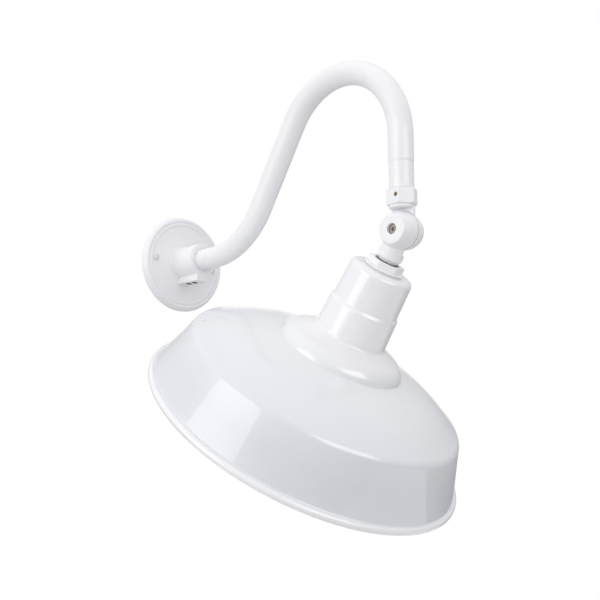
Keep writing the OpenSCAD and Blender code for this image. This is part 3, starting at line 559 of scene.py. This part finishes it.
# ---------------------------------------------------------------- nipple and wires
# A zinc plated running nipple joins the arm to the swivel, and two PVC covered
# leads run through them to the lampholder.
# The plating has a bloom of 2.9 mm: bright patches beside dull, milky ones.
zinc_plate, tree = new_finish("zinc_plated_steel")
place = add(tree, "ShaderNodeTexCoord").outputs["Object"]
bloom = add(tree, "ShaderNodeTexNoise", {"Vector": place, "Scale": every(2.9), "Detail": 5})
tone = add(tree, "ShaderNodeMix", {0: bloom, 6: linear("#A9ACAE"), 7: linear("#CBCDCC")},
           data_type="RGBA")
dull = add(tree, "ShaderNodeMapRange", {"Value": bloom, "To Min": 0.28, "To Max": 0.45})
skin = add(tree, "ShaderNodeBump", {"Height": bloom, "Strength": 0.15, "Distance": 0.1 * MM})
add(tree, "ShaderNodeOutputMaterial", {"Surface": add(tree, "ShaderNodeBsdfPrincipled", {
    "Base Color": tone.outputs[2], "Metallic": 1, "Roughness": dull.outputs[0], "Normal": skin,
})})
dress("arm_end_nipple", zinc_plate)
black_pvc = drawn_insulation("black_pvc", "#141415", "#242426")
white_pvc = drawn_insulation("white_pvc", "#DAD8D0", "#E8E6DF")
dress("arm_lead_black", black_pvc)
dress("arm_lead_white", white_pvc)


# ---------------------------------------------------------------- knuckle
# Two cast halves with serrated faces: the upper one has the hexagonal collar on
# the arm's end, the lower one carries the shade on its threaded stem. They have
# the same powder coat as the wall plate.
UPPER_GRID, LOWER_GRID = 0.36 * MM, 0.41 * MM
upper = coated_casting("knuckle_upper_half", "swivel_upper_half", UPPER_GRID, 3)
upper.data.materials.append(casting_coat)
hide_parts("swivel_upper_half")
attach(upper, "swivel")

lower = coated_casting("knuckle_lower_half", "swivel_lower_half", LOWER_GRID, 3)
lower.data.materials.append(casting_coat)

# The stem's thread is left bare, so that the nut runs on it: dull brownish metal
# with crests 0.94 mm apart and patches of 1.2 mm. Its dark tone is partly the bare
# metal and partly painted shade, which shows as a dark ring inside the nut.
# head_place puts the pin at the origin, the stem along Z.
pin = Vector(joints["shade_tilt"]["pos_m"])
pin_axis = Vector(joints["shade_tilt"]["axis"]).normalized()
head_up = -Vector(joints["lamp_turn"]["axis"]).normalized()
head_place = Matrix((pin_axis, head_up.cross(pin_axis), head_up)).transposed().to_4x4()
head_place.translation = pin
STEM_FROM, STEM_R, PITCH = 33.3, 11, 0.94
bare_thread, tree = new_finish("bare_thread")
place = add(tree, "ShaderNodeTexCoord").outputs["Object"]
drop = add(tree, "ShaderNodeVectorMath", {0: place, 1: head_up}, operation="DOT_PRODUCT")
phase = add(tree, "ShaderNodeMath", {
    0: drop.outputs["Value"], 1: 2 * math.pi / (PITCH * MM),
}, operation="MULTIPLY")
crests = add(tree, "ShaderNodeMath", {0: phase}, operation="SINE")
thread_patches = add(tree, "ShaderNodeTexNoise", {"Vector": place, "Scale": every(1.2), "Detail": 3})
tone = add(tree, "ShaderNodeMix", {0: thread_patches, 6: linear("#544A40"), 7: linear("#9A8D7E")},
           data_type="RGBA")
skin = add(tree, "ShaderNodeBump", {"Height": crests, "Strength": 0.6, "Distance": 0.3 * MM})
add(tree, "ShaderNodeOutputMaterial", {"Surface": add(tree, "ShaderNodeBsdfPrincipled", {
    "Base Color": tone.outputs[2], "Metallic": 0.8, "Roughness": 0.32, "Normal": skin,
})})
lower.data.materials.append(bare_thread)
# Faces on the stem below the neck take the bare thread, kept dark partly as painted shade.
for face in lower.data.polygons:
    out = face.center - pin
    below = -out.dot(head_up)
    if below > STEM_FROM * MM and (out + head_up * below).length < STEM_R * MM:
        face.material_index = 1
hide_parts("swivel_lower_half")
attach(lower, "head")


# ---------------------------------------------------------------- knuckle bolt
# A stainless socket head bolt clamps the two halves, with a washer under its
# head, and a rubber ring keeps the rain out of the wire chamber.
# Tool marks give small bright and dark glints at the pocket's bottom. Real ones are
# a tenth of a millimetre; they are drawn at 0.7 mm, as fine as they still show.
stainless, tree = new_finish("turned_stainless_steel")
place = add(tree, "ShaderNodeTexCoord").outputs["Object"]
marks = add(tree, "ShaderNodeTexNoise", {"Vector": place, "Scale": every(0.67), "Detail": 3})
tone = add(tree, "ShaderNodeMix", {0: marks, 6: linear("#867F76"), 7: linear("#C4BDB3")},
           data_type="RGBA")
dull = add(tree, "ShaderNodeMapRange", {"Value": marks, "To Min": 0.12, "To Max": 0.28})
skin = add(tree, "ShaderNodeBump", {"Height": marks, "Strength": 0.2, "Distance": 0.05 * MM})
add(tree, "ShaderNodeOutputMaterial", {"Surface": add(tree, "ShaderNodeBsdfPrincipled", {
    "Base Color": tone.outputs[2], "Metallic": 1, "Roughness": dull.outputs[0], "Normal": skin,
})})
dress("knuckle_bolt", stainless)
dress("bolt_washer", stainless)

# The rubber is matt dark grey, with dust in patches of 1.7 mm.
moulded_rubber, tree = new_finish("moulded_rubber")
place = add(tree, "ShaderNodeTexCoord").outputs["Object"]
dust = add(tree, "ShaderNodeTexNoise", {"Vector": place, "Scale": every(1.7), "Detail": 3})
tone = add(tree, "ShaderNodeMix", {0: dust, 6: linear("#28292A"), 7: linear("#3D3E40")},
           data_type="RGBA")
add(tree, "ShaderNodeOutputMaterial", {"Surface": add(tree, "ShaderNodeBsdfPrincipled", {
    "Base Color": tone.outputs[2], "Roughness": 0.68,
})})
dress("knuckle_seal", moulded_rubber)
dress("knuckle_leads", black_pvc)


# ---------------------------------------------------------------- shade's locknut
# A cast flanged nut on the stem pulls the shade up against the lampholder's cap,
# with a white silicone washer under its flange.
NUT_GRID = 0.3 * MM
nut = coated_casting("shade_nut", "shade_locknut", NUT_GRID, 3)
nut.data.materials.append(casting_coat)
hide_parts("shade_locknut")
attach(nut, "head")

# White silicone, matt, with dust in patches of 1.5 mm, so that all it shows is a
# soft line under the flange.
white_silicone, tree = new_finish("white_silicone")
place = add(tree, "ShaderNodeTexCoord").outputs["Object"]
dust = add(tree, "ShaderNodeTexNoise", {"Vector": place, "Scale": every(1.5), "Detail": 3})
tone = add(tree, "ShaderNodeMix", {0: dust, 6: linear("#DCDCDD"), 7: linear("#EDEDEE")},
           data_type="RGBA")
add(tree, "ShaderNodeOutputMaterial", {"Surface": add(tree, "ShaderNodeBsdfPrincipled", {
    "Base Color": tone.outputs[2], "Roughness": 0.5,
})})
dress("shade_seal", white_silicone)


# ---------------------------------------------------------------- shade
# One steel sheet, spun over a former: a stepped neck, a rolled flare, a flat
# dome and a skirt, with its edge rolled over a wire. Inside and outside have a
# gloss white enamel, with painted light on the neck and the bead and painted
# shade on the skirt.
SHADE_TOP, SHEET, HOLE_R, RIM_DROP, RIM_R, BEAD_R = 43.3, 1.2, 10.4, 187.4, 173.6, 4
BEAD_JOIN, LINE_STEP = 0.4, 3
# Radius, drop from the shade's top, and the radius of the bend at each corner: the
# hole, the neck's top, its step and its foot; the flare; the dome, shoulder and rim.
SHADE_LINE = [
    (HOLE_R, 0, 0), (33.5, 0, 6.2), (35.1, 40, 2.4), (37.1, 43.2, 2.4), (38.6, 76, 5),
    (61.1, 86.9, 20), (66.5, 93, 20), (68.4, 98.8, 0.8),
    (111.8, 107.8, 190), (151.3, 129, 12), (RIM_R, RIM_DROP, 0),
]


def rounded(line, inset, step):
    """The bent line moved sideways by inset, with each corner an arc, and its
    straights cut so that no stretch is longer than step."""
    flat = [Vector(p[:2]) for p in line]
    normals = [Vector((b.y - a.y, a.x - b.x)).normalized() for a, b in zip(flat, flat[1:])]
    moved = []
    for i, p in enumerate(flat):
        before, after = normals[max(0, i - 1)], normals[min(i, len(normals) - 1)]
        middle = (before + after).normalized()
        moved.append(p - middle * inset / middle.dot(before))
    points = [moved[0]]
    for i in range(1, len(moved)):
        if i == len(moved) - 1 or not line[i][2]:
            points.append(moved[i])
            continue
        a, b, c = moved[i - 1], moved[i], moved[i + 1]
        u, v = (a - b).normalized(), (c - b).normalized()
        half = u.angle(v) / 2
        run = min(line[i][2] / math.tan(half), (a - b).length * 0.49, (c - b).length * 0.49)
        radius = run * math.tan(half)
        hub = b + (u + v).normalized() * radius / math.sin(half)
        first, last = b + u * run - hub, b + v * run - hub
        turn = (math.atan2(last.y, last.x) - math.atan2(first.y, first.x) + math.pi) % (
            2 * math.pi) - math.pi
        count = max(4, math.ceil(abs(turn) / math.radians(3)))
        points += [hub + Matrix.Rotation(turn * k / count, 2) @ first for k in range(count + 1)]
    fine = [points[0]]
    for a, b in zip(points, points[1:]):
        count = max(1, math.ceil((b - a).length / step))
        fine += [a.lerp(b, k / count) for k in range(1, count + 1)]
    return fine


# Under its gloss the colour is painted darker from the neck to the skirt as painted
# shade, and lighter again on the bead as painted light, between these drops below
# the pin. Peel of 3.8 mm hardly moves what is mirrored in it, and pull of 38 mm
# bends it slowly, as in a real spun shade.
SKIRT_SHADE_FROM, SKIRT_SHADE_TO, BEAD_LIGHT_FROM, BEAD_LIGHT_TO = 115, 200, 225.5, 227
enamel, tree = new_finish("gloss_white_enamel")
place = add(tree, "ShaderNodeTexCoord").outputs["Object"]
peel = add(tree, "ShaderNodeTexNoise", {"Vector": place, "Scale": every(3.8), "Detail": 1.5})
pull = add(tree, "ShaderNodeTexNoise", {"Vector": place, "Scale": every(38), "Detail": 2})
from_pin = add(tree, "ShaderNodeVectorMath", {0: place, 1: pin}, operation="SUBTRACT")
drop = add(tree, "ShaderNodeVectorMath", {0: from_pin, 1: -head_up}, operation="DOT_PRODUCT")
painted_skirt_shade = add(tree, "ShaderNodeMapRange", {
    "Value": drop.outputs["Value"], "From Min": SKIRT_SHADE_FROM * MM, "From Max": SKIRT_SHADE_TO * MM,
})
painted_bead_light = add(tree, "ShaderNodeMapRange", {
    "Value": drop.outputs["Value"],
    "From Min": BEAD_LIGHT_FROM * MM, "From Max": BEAD_LIGHT_TO * MM,
})
painted_light_and_shade = add(tree, "ShaderNodeMath", {0: painted_skirt_shade, 1: painted_bead_light}, operation="SUBTRACT")
coat = add(tree, "ShaderNodeMix", {
    0: painted_light_and_shade.outputs[0], 6: linear("#FAFAFC"), 7: linear("#E3E6EA"),
}, data_type="RGBA")
clouds = add(tree, "ShaderNodeMix", {0: pull, 6: linear("#FBFBFB"), 7: linear("#FFFFFF")},
             data_type="RGBA")
tone = add(tree, "ShaderNodeMix", {0: 1, 6: coat.outputs[2], 7: clouds.outputs[2]},
           data_type="RGBA", blend_type="MULTIPLY")
sheen = add(tree, "ShaderNodeMapRange", {"Value": pull, "To Min": 0.26, "To Max": 0.34})
skin = add(tree, "ShaderNodeBump", {"Height": peel, "Strength": 0.05, "Distance": 0.1 * MM})
lie = add(tree, "ShaderNodeBump", {
    "Height": pull, "Strength": 0.05, "Distance": 0.6 * MM, "Normal": skin,
})
add(tree, "ShaderNodeOutputMaterial", {"Surface": add(tree, "ShaderNodeBsdfPrincipled", {
    "Base Color": tone.outputs[2], "Roughness": sheen.outputs[0], "Normal": skin,
    "Coat Weight": 1, "Coat Roughness": 0.04, "Coat Normal": lie,
})})

# Both faces of the sheet end where they meet the bead, which closes round its wire.
outer = rounded(SHADE_LINE, 0, LINE_STEP)
inner = rounded(SHADE_LINE, SHEET, LINE_STEP)
bead = Vector((RIM_R - SHEET / 2, RIM_DROP))
down = (outer[-1] - outer[-2]).normalized()
side = Vector((down.y, -down.x))
away, near = (outer[-1] - bead).dot(side), (inner[-1] - bead).dot(side)
opened = math.acos(away / BEAD_R)
closing = math.acos(near / BEAD_R)
curl = [bead + BEAD_R * (side * math.cos(a) - down * math.sin(a)) for a in (
    opened - (opened + 2 * math.pi - closing) * k / 48 for k in range(49))]
for face in (outer, inner):
    while (face[-1] - bead).length < BEAD_R + BEAD_JOIN:
        face.pop()
outline = outer + curl + inner[::-1] + [outer[0]]
shade = revolve("enamelled_shade", [(r, -SHADE_TOP - drop) for r, drop in outline], 208, enamel)
shade.data.transform(head_place)
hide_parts("shade")
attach(shade, "head")


# ---------------------------------------------------------------- lampholder
# A pressed, zinc plated cap on the stem holds a glazed porcelain body with two
# screws. The body carries the copper alloy screw shell, the centre contact and
# the terminals on which the leads end.
PORCELAIN_GRID = 0.55 * MM
dress("lampholder_cap", zinc_plate)
dress("lampholder_screws", stainless)

# Warm white clouds of 8 mm and iron specks 2.4 mm apart under a wet-looking glaze.
porcelain, tree = new_finish("glazed_porcelain")
place = add(tree, "ShaderNodeTexCoord").outputs["Object"]
cloud = add(tree, "ShaderNodeTexNoise", {"Vector": place, "Scale": every(8.3), "Detail": 4})
specks = add(tree, "ShaderNodeTexVoronoi", {"Vector": place, "Scale": every(2.4)})
speck = add(tree, "ShaderNodeMapRange", {
    "Value": specks.outputs["Distance"], "From Min": 0.04, "From Max": 0.09,
})
body = add(tree, "ShaderNodeMix", {0: cloud, 6: linear("#E6E3DA"), 7: linear("#F0EEE8")},
           data_type="RGBA")
tone = add(tree, "ShaderNodeMix", {
    0: speck.outputs[0], 6: linear("#CFC8BB"), 7: body.outputs[2],
}, data_type="RGBA")
skin = add(tree, "ShaderNodeBump", {"Height": cloud, "Strength": 0.1, "Distance": 0.3 * MM})
add(tree, "ShaderNodeOutputMaterial", {"Surface": add(tree, "ShaderNodeBsdfPrincipled", {
    "Base Color": tone.outputs[2], "Roughness": 0.14, "Normal": skin,
})})
socket = coated_casting("porcelain_body", "lampholder_body", PORCELAIN_GRID, 3)
socket.data.materials.append(porcelain)
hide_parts("lampholder_body")
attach(socket, "head")

# Tarnish in patches of 3.8 mm, from bright yellow to dull brown.
brass, tree = new_finish("rolled_brass")
place = add(tree, "ShaderNodeTexCoord").outputs["Object"]
tarnish = add(tree, "ShaderNodeTexNoise", {"Vector": place, "Scale": every(3.8), "Detail": 5})
tone = add(tree, "ShaderNodeMix", {0: tarnish, 6: linear("#A98242"), 7: linear("#DDBE7C")},
           data_type="RGBA")
dull = add(tree, "ShaderNodeMapRange", {"Value": tarnish, "To Min": 0.2, "To Max": 0.4})
add(tree, "ShaderNodeOutputMaterial", {"Surface": add(tree, "ShaderNodeBsdfPrincipled", {
    "Base Color": tone.outputs[2], "Metallic": 1, "Roughness": dull.outputs[0],
})})
for node in ("screw_shell", "centre_contact", "terminal_screws"):
    dress(node, brass)
dress("holder_lead_black", black_pvc)
dress("holder_lead_white", white_pvc)


# ---------------------------------------------------------------- lamp base
# A drawn aluminium screw base, with a black glass insulator and a lead-free
# solder tip at its end.
# The draw marks of 2.1 mm turn its shine on and off round the thread.
drawn_aluminium, tree = new_finish("drawn_aluminium")
place = add(tree, "ShaderNodeTexCoord").outputs["Object"]
draw = add(tree, "ShaderNodeTexNoise", {"Vector": place, "Scale": every(2.1), "Detail": 3})
tone = add(tree, "ShaderNodeMix", {0: draw, 6: linear("#C3C4C4"), 7: linear("#DCDCDB")},
           data_type="RGBA")
dull = add(tree, "ShaderNodeMapRange", {"Value": draw, "To Min": 0.22, "To Max": 0.34})
add(tree, "ShaderNodeOutputMaterial", {"Surface": add(tree, "ShaderNodeBsdfPrincipled", {
    "Base Color": tone.outputs[2], "Metallic": 1, "Roughness": dull.outputs[0],
})})
dress("lamp_base", drawn_aluminium)

# Nearly black glass, whose seeds of 1.1 mm show only where it shines.
black_glass, tree = new_finish("black_base_glass")
place = add(tree, "ShaderNodeTexCoord").outputs["Object"]
seeds = add(tree, "ShaderNodeTexNoise", {"Vector": place, "Scale": every(1.1), "Detail": 2})
tone = add(tree, "ShaderNodeMix", {0: seeds, 6: linear("#0B0B0E"), 7: linear("#1C1C22")},
           data_type="RGBA")
add(tree, "ShaderNodeOutputMaterial", {"Surface": add(tree, "ShaderNodeBsdfPrincipled", {
    "Base Color": tone.outputs[2], "Roughness": 0.1,
})})
dress("lamp_insulator", black_glass)

# Lumps of 0.9 mm and spots of flux make the tip look hand-dipped.
solder, tree = new_finish("tin_solder")
place = add(tree, "ShaderNodeTexCoord").outputs["Object"]
flux = add(tree, "ShaderNodeTexNoise", {"Vector": place, "Scale": every(0.91), "Detail": 4})
tone = add(tree, "ShaderNodeMix", {0: flux, 6: linear("#9C9C9B"), 7: linear("#C9C9C7")},
           data_type="RGBA")
skin = add(tree, "ShaderNodeBump", {"Height": flux, "Strength": 0.4, "Distance": 0.2 * MM})
add(tree, "ShaderNodeOutputMaterial", {"Surface": add(tree, "ShaderNodeBsdfPrincipled", {
    "Base Color": tone.outputs[2], "Metallic": 1, "Roughness": 0.3, "Normal": skin,
})})
dress("lamp_tip", solder)


# ---------------------------------------------------------------- lamp glass
# Blown clear soda-lime glass, 0.8 mm thick: a round bulb with a neck that is
# cemented into the base. A glass stem inside carries the filament.
BULB_R, BULB_AT, NECK_R, NECK_AT, BLEND_R, GLASS_T = 33.5, 177.2, 12.5, 92, 60, 0.8


def bulb_line(inset):
    """The bulb's outline from its neck down to its end, moved in by inset."""
    ball, neck, blend = BULB_R - inset, NECK_R - inset, BLEND_R + inset
    reach = neck + blend
    rise = math.sqrt((ball + blend) ** 2 - reach ** 2)
    meet = math.atan2(rise, reach)
    hollow = [(reach - blend * math.cos(a), BULB_AT - rise + blend * math.sin(a))
              for a in (meet * k / 20 for k in range(20))]
    turn = meet + math.pi / 2
    round_end = [(ball * math.cos(a), BULB_AT - ball * math.sin(a))
                 for a in (meet - turn * k / 60 for k in range(60))]
    straight = [(neck, NECK_AT + (hollow[0][1] - NECK_AT) * k / 4) for k in range(4)]
    return straight + hollow + round_end + [(0, BULB_AT + ball)]


# A swirl of 33 mm in the blown wall bends what is seen through it a little.
clear_glass, tree = new_finish("clear_soda_lime_glass")
place = add(tree, "ShaderNodeTexCoord").outputs["Object"]
swirl = add(tree, "ShaderNodeTexNoise", {"Vector": place, "Scale": every(33), "Detail": 2})
skin = add(tree, "ShaderNodeBump", {"Height": swirl, "Strength": 0.06, "Distance": 0.5 * MM})
add(tree, "ShaderNodeOutputMaterial", {"Surface": add(tree, "ShaderNodeBsdfPrincipled", {
    "Base Color": linear("#FBFCFB"), "Roughness": 0.01, "IOR": 1.5,
    "Transmission Weight": 1, "Normal": skin,
})})
wall = bulb_line(0) + bulb_line(GLASS_T)[::-1]
bulb = revolve("lamp_bulb", [(r, -s) for r, s in wall + [wall[0]]], 128, clear_glass)
bulb.data.transform(head_place)
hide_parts("lamp_glass")
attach(bulb, "lamp")
dress("lamp_stem", clear_glass)


# ---------------------------------------------------------------- filament
# A tungsten wire wound to a fine coil, bent into an open ring and held on two legs
# as grey as itself, which are sealed into the stem.
RING_R, RING_AT, COIL_R, WIRE_R = 10, 171.2, 0.42, 0.1
COIL_TURNS, COIL_STEPS, RING_FROM, RING_TO = 70, 8, 45, 315
STEM_END, LEG_R, LEG_FOOT_R, LEG_SEALED = 151.2, 0.3, 1.7, 1

# Die marks, from light to dark grey, dull the wire. Real ones are far finer; they
# are drawn at 0.4 mm so that they show.
tungsten, tree = new_finish("drawn_tungsten")
place = add(tree, "ShaderNodeTexCoord").outputs["Object"]
draw = add(tree, "ShaderNodeTexNoise", {"Vector": place, "Scale": every(0.4), "Detail": 2})
tone = add(tree, "ShaderNodeMix", {0: draw, 6: linear("#4B4A49"), 7: linear("#7B7A78")},
           data_type="RGBA")
add(tree, "ShaderNodeOutputMaterial", {"Surface": add(tree, "ShaderNodeBsdfPrincipled", {
    "Base Color": tone.outputs[2], "Metallic": 1, "Roughness": 0.35,
})})
coil = []
steps = COIL_TURNS * COIL_STEPS
for k in range(steps + 1):
    round_ring = math.radians(RING_FROM + (RING_TO - RING_FROM) * k / steps)
    round_coil = 2 * math.pi * k / COIL_STEPS
    r = RING_R + COIL_R * math.cos(round_coil)
    coil.append((r * math.cos(round_ring), r * math.sin(round_ring),
                 -RING_AT + COIL_R * math.sin(round_coil)))
legs = []
for angle in (RING_FROM, RING_TO):
    a = math.radians(angle)
    foot = Vector((LEG_FOOT_R * math.cos(a), LEG_FOOT_R * math.sin(a), LEG_SEALED - STEM_END))
    head = Vector((RING_R * math.cos(a), RING_R * math.sin(a), -RING_AT))
    legs.append([foot.lerp(head, k / 8) for k in range(9)])
parts = [grow(path_of("filament_path", points), "filament_part", swept, {
    "Radius": radius * MM, "End radius": radius * MM, "End length": 0.0,
    "End step": radius * MM, "Steps round": 8, "Finish": tungsten,
}) for points, radius in ((coil, WIRE_R), (legs[0], LEG_R), (legs[1], LEG_R))]
whole = bmesh.new()
for part in parts:
    whole.from_mesh(part.data)
    bpy.data.objects.remove(part)
bmesh.ops.holes_fill(whole, edges=whole.edges)
bmesh.ops.recalc_face_normals(whole, faces=whole.faces)
filament = bpy.data.objects.new("coiled_filament", bpy.data.meshes.new("coiled_filament"))
whole.to_mesh(filament.data)
whole.free()
filament.data.materials.append(tungsten)
scene.collection.objects.link(filament)
filament.data.transform(head_place)
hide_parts("lamp_filament")
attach(filament, "lamp")


# ---------------------------------------------------------------- studio
# A paper floor well below the lantern and a white backdrop, in a room that is paler
# above. Two broad lights, left and front, set the level, and a window light beside
# each of them shows only as a highlight in the gloss.
FLOOR_Z, FLOOR_LEFT, FLOOR_RIGHT, FLOOR_FRONT, FLOOR_BACK = -1.6, -3.2, 3.2, -3.4, 3.0
WHITENING = 0.18
floor = bpy.data.objects.new("floor", bpy.data.meshes.new("floor"))
floor.data.from_pydata([
    (FLOOR_LEFT, FLOOR_FRONT, FLOOR_Z), (FLOOR_RIGHT, FLOOR_FRONT, FLOOR_Z),
    (FLOOR_RIGHT, FLOOR_BACK, FLOOR_Z), (FLOOR_LEFT, FLOOR_BACK, FLOOR_Z),
], [], [(0, 1, 2, 3)])
scene.collection.objects.link(floor)
# The paper has a fibre of 25 mm. To the eye it is white, with the lantern's faint
# shadow on it, and it lights the lantern from below as a floor in shade does.
paper, tree = new_finish("white_studio_paper")
place = add(tree, "ShaderNodeTexCoord").outputs["Object"]
fibre = add(tree, "ShaderNodeTexNoise", {"Vector": place, "Scale": every(25), "Detail": 4})
rays = add(tree, "ShaderNodeLightPath")
seen = add(tree, "ShaderNodeMath", {
    0: rays.outputs["Is Camera Ray"], 1: rays.outputs["Is Glossy Ray"],
}, operation="MAXIMUM")
seen = add(tree, "ShaderNodeMath", {0: seen, 1: rays.outputs["Is Transmission Ray"]},
           operation="MAXIMUM")
tone = add(tree, "ShaderNodeMix", {0: fibre, 6: linear("#F4F4F4"), 7: linear("#F8F8F8")},
           data_type="RGBA")
paper_tone = add(tree, "ShaderNodeMix", {0: seen, 6: linear("#BCBCBC"), 7: tone.outputs[2]},
                 data_type="RGBA")
whitened = add(tree, "ShaderNodeMath", {0: seen, 1: WHITENING}, operation="MULTIPLY")
add(tree, "ShaderNodeOutputMaterial", {"Surface": add(tree, "ShaderNodeBsdfPrincipled", {
    "Base Color": paper_tone.outputs[2], "Roughness": 0.9,
    "Emission Color": tone.outputs[2], "Emission Strength": whitened,
})})
floor.data.materials.append(paper)

# The backdrop is the part of the room round this direction, and the room is palest
# towards the other. Seen directly it is all white; only its light varies.
BACKDROP = (0.69, 0.713, 0.126)
PALE_SIDE = (-0.33, -0.20, 0.92)
ROOM_DARK, ROOM_PALE = 0.27, 1.03
world = bpy.data.worlds.new("white_room")
scene.world = world
world.use_nodes = True
tree = world.node_tree
tree.nodes.clear()
looked = add(tree, "ShaderNodeTexCoord").outputs["Generated"]
to_backdrop = add(tree, "ShaderNodeVectorMath", {0: looked, 1: BACKDROP}, operation="DOT_PRODUCT")
paper_edge = add(tree, "ShaderNodeMapRange", {
    "Value": to_backdrop.outputs["Value"], "From Min": 0.93, "From Max": 0.98,
})
rays = add(tree, "ShaderNodeLightPath")
mirrored = add(tree, "ShaderNodeMath", {0: rays.outputs["Is Glossy Ray"], 1: paper_edge},
               operation="MULTIPLY")
seen = add(tree, "ShaderNodeMath", {0: rays.outputs["Is Camera Ray"], 1: mirrored},
           operation="MAXIMUM")
seen = add(tree, "ShaderNodeMath", {0: seen, 1: rays.outputs["Is Transmission Ray"]},
           operation="MAXIMUM")
to_pale = add(tree, "ShaderNodeVectorMath", {0: looked, 1: PALE_SIDE}, operation="DOT_PRODUCT")
level = add(tree, "ShaderNodeMapRange", {
    "Value": to_pale.outputs["Value"], "From Min": -1, "From Max": 1,
    "To Min": ROOM_DARK, "To Max": ROOM_PALE,
}, interpolation_type="SMOOTHSTEP")
room = add(tree, "ShaderNodeBackground", {"Color": linear("#FAFAFC"), "Strength": level})
backdrop = add(tree, "ShaderNodeBackground", {"Color": (1, 1, 1, 1), "Strength": 1})
add(tree, "ShaderNodeOutputWorld", {
    "Surface": add(tree, "ShaderNodeMixShader", {0: seen, 1: room, 2: backdrop}),
})


AIMED_AT = Vector((0, -0.3, -0.1))


def softbox(name, turn, rise, distance, width, height, power, lights=True):
    """A flat studio light round the lantern, hidden from the camera: turned from
    straight in front of the wall and raised, in degrees, with its distance and
    size in metres and its power in watts. One that does not light anything is
    only mirrored in the gloss."""
    light = bpy.data.lights.new(name, "AREA")
    light.shape = "RECTANGLE"
    light.size, light.size_y, light.energy = width, height, power
    lamp = bpy.data.objects.new(name, light)
    scene.collection.objects.link(lamp)
    turn, rise = math.radians(turn), math.radians(rise)
    away = Vector((
        math.sin(turn) * math.cos(rise), -math.cos(turn) * math.cos(rise), math.sin(rise),
    ))
    lamp.matrix_world = away.to_track_quat("Z", "Y").to_matrix().to_4x4()
    lamp.matrix_world.translation = AIMED_AT + away * distance
    lamp.visible_camera = False
    lamp.visible_diffuse = lights
    lamp.visible_glossy = not lights


softbox("side_fill", -110, 12, 2.4, 1.7, 1.7, 11)
softbox("window", -93, 12, 2.4, 1.6, 1.7, 15, lights=False)
softbox("front_fill", -6, 12, 2.6, 1.9, 0.9, 3.5)
softbox("front_window", -4, 11, 2.6, 2.0, 1.2, 18, lights=False)

scene.view_settings.view_transform = "Standard"
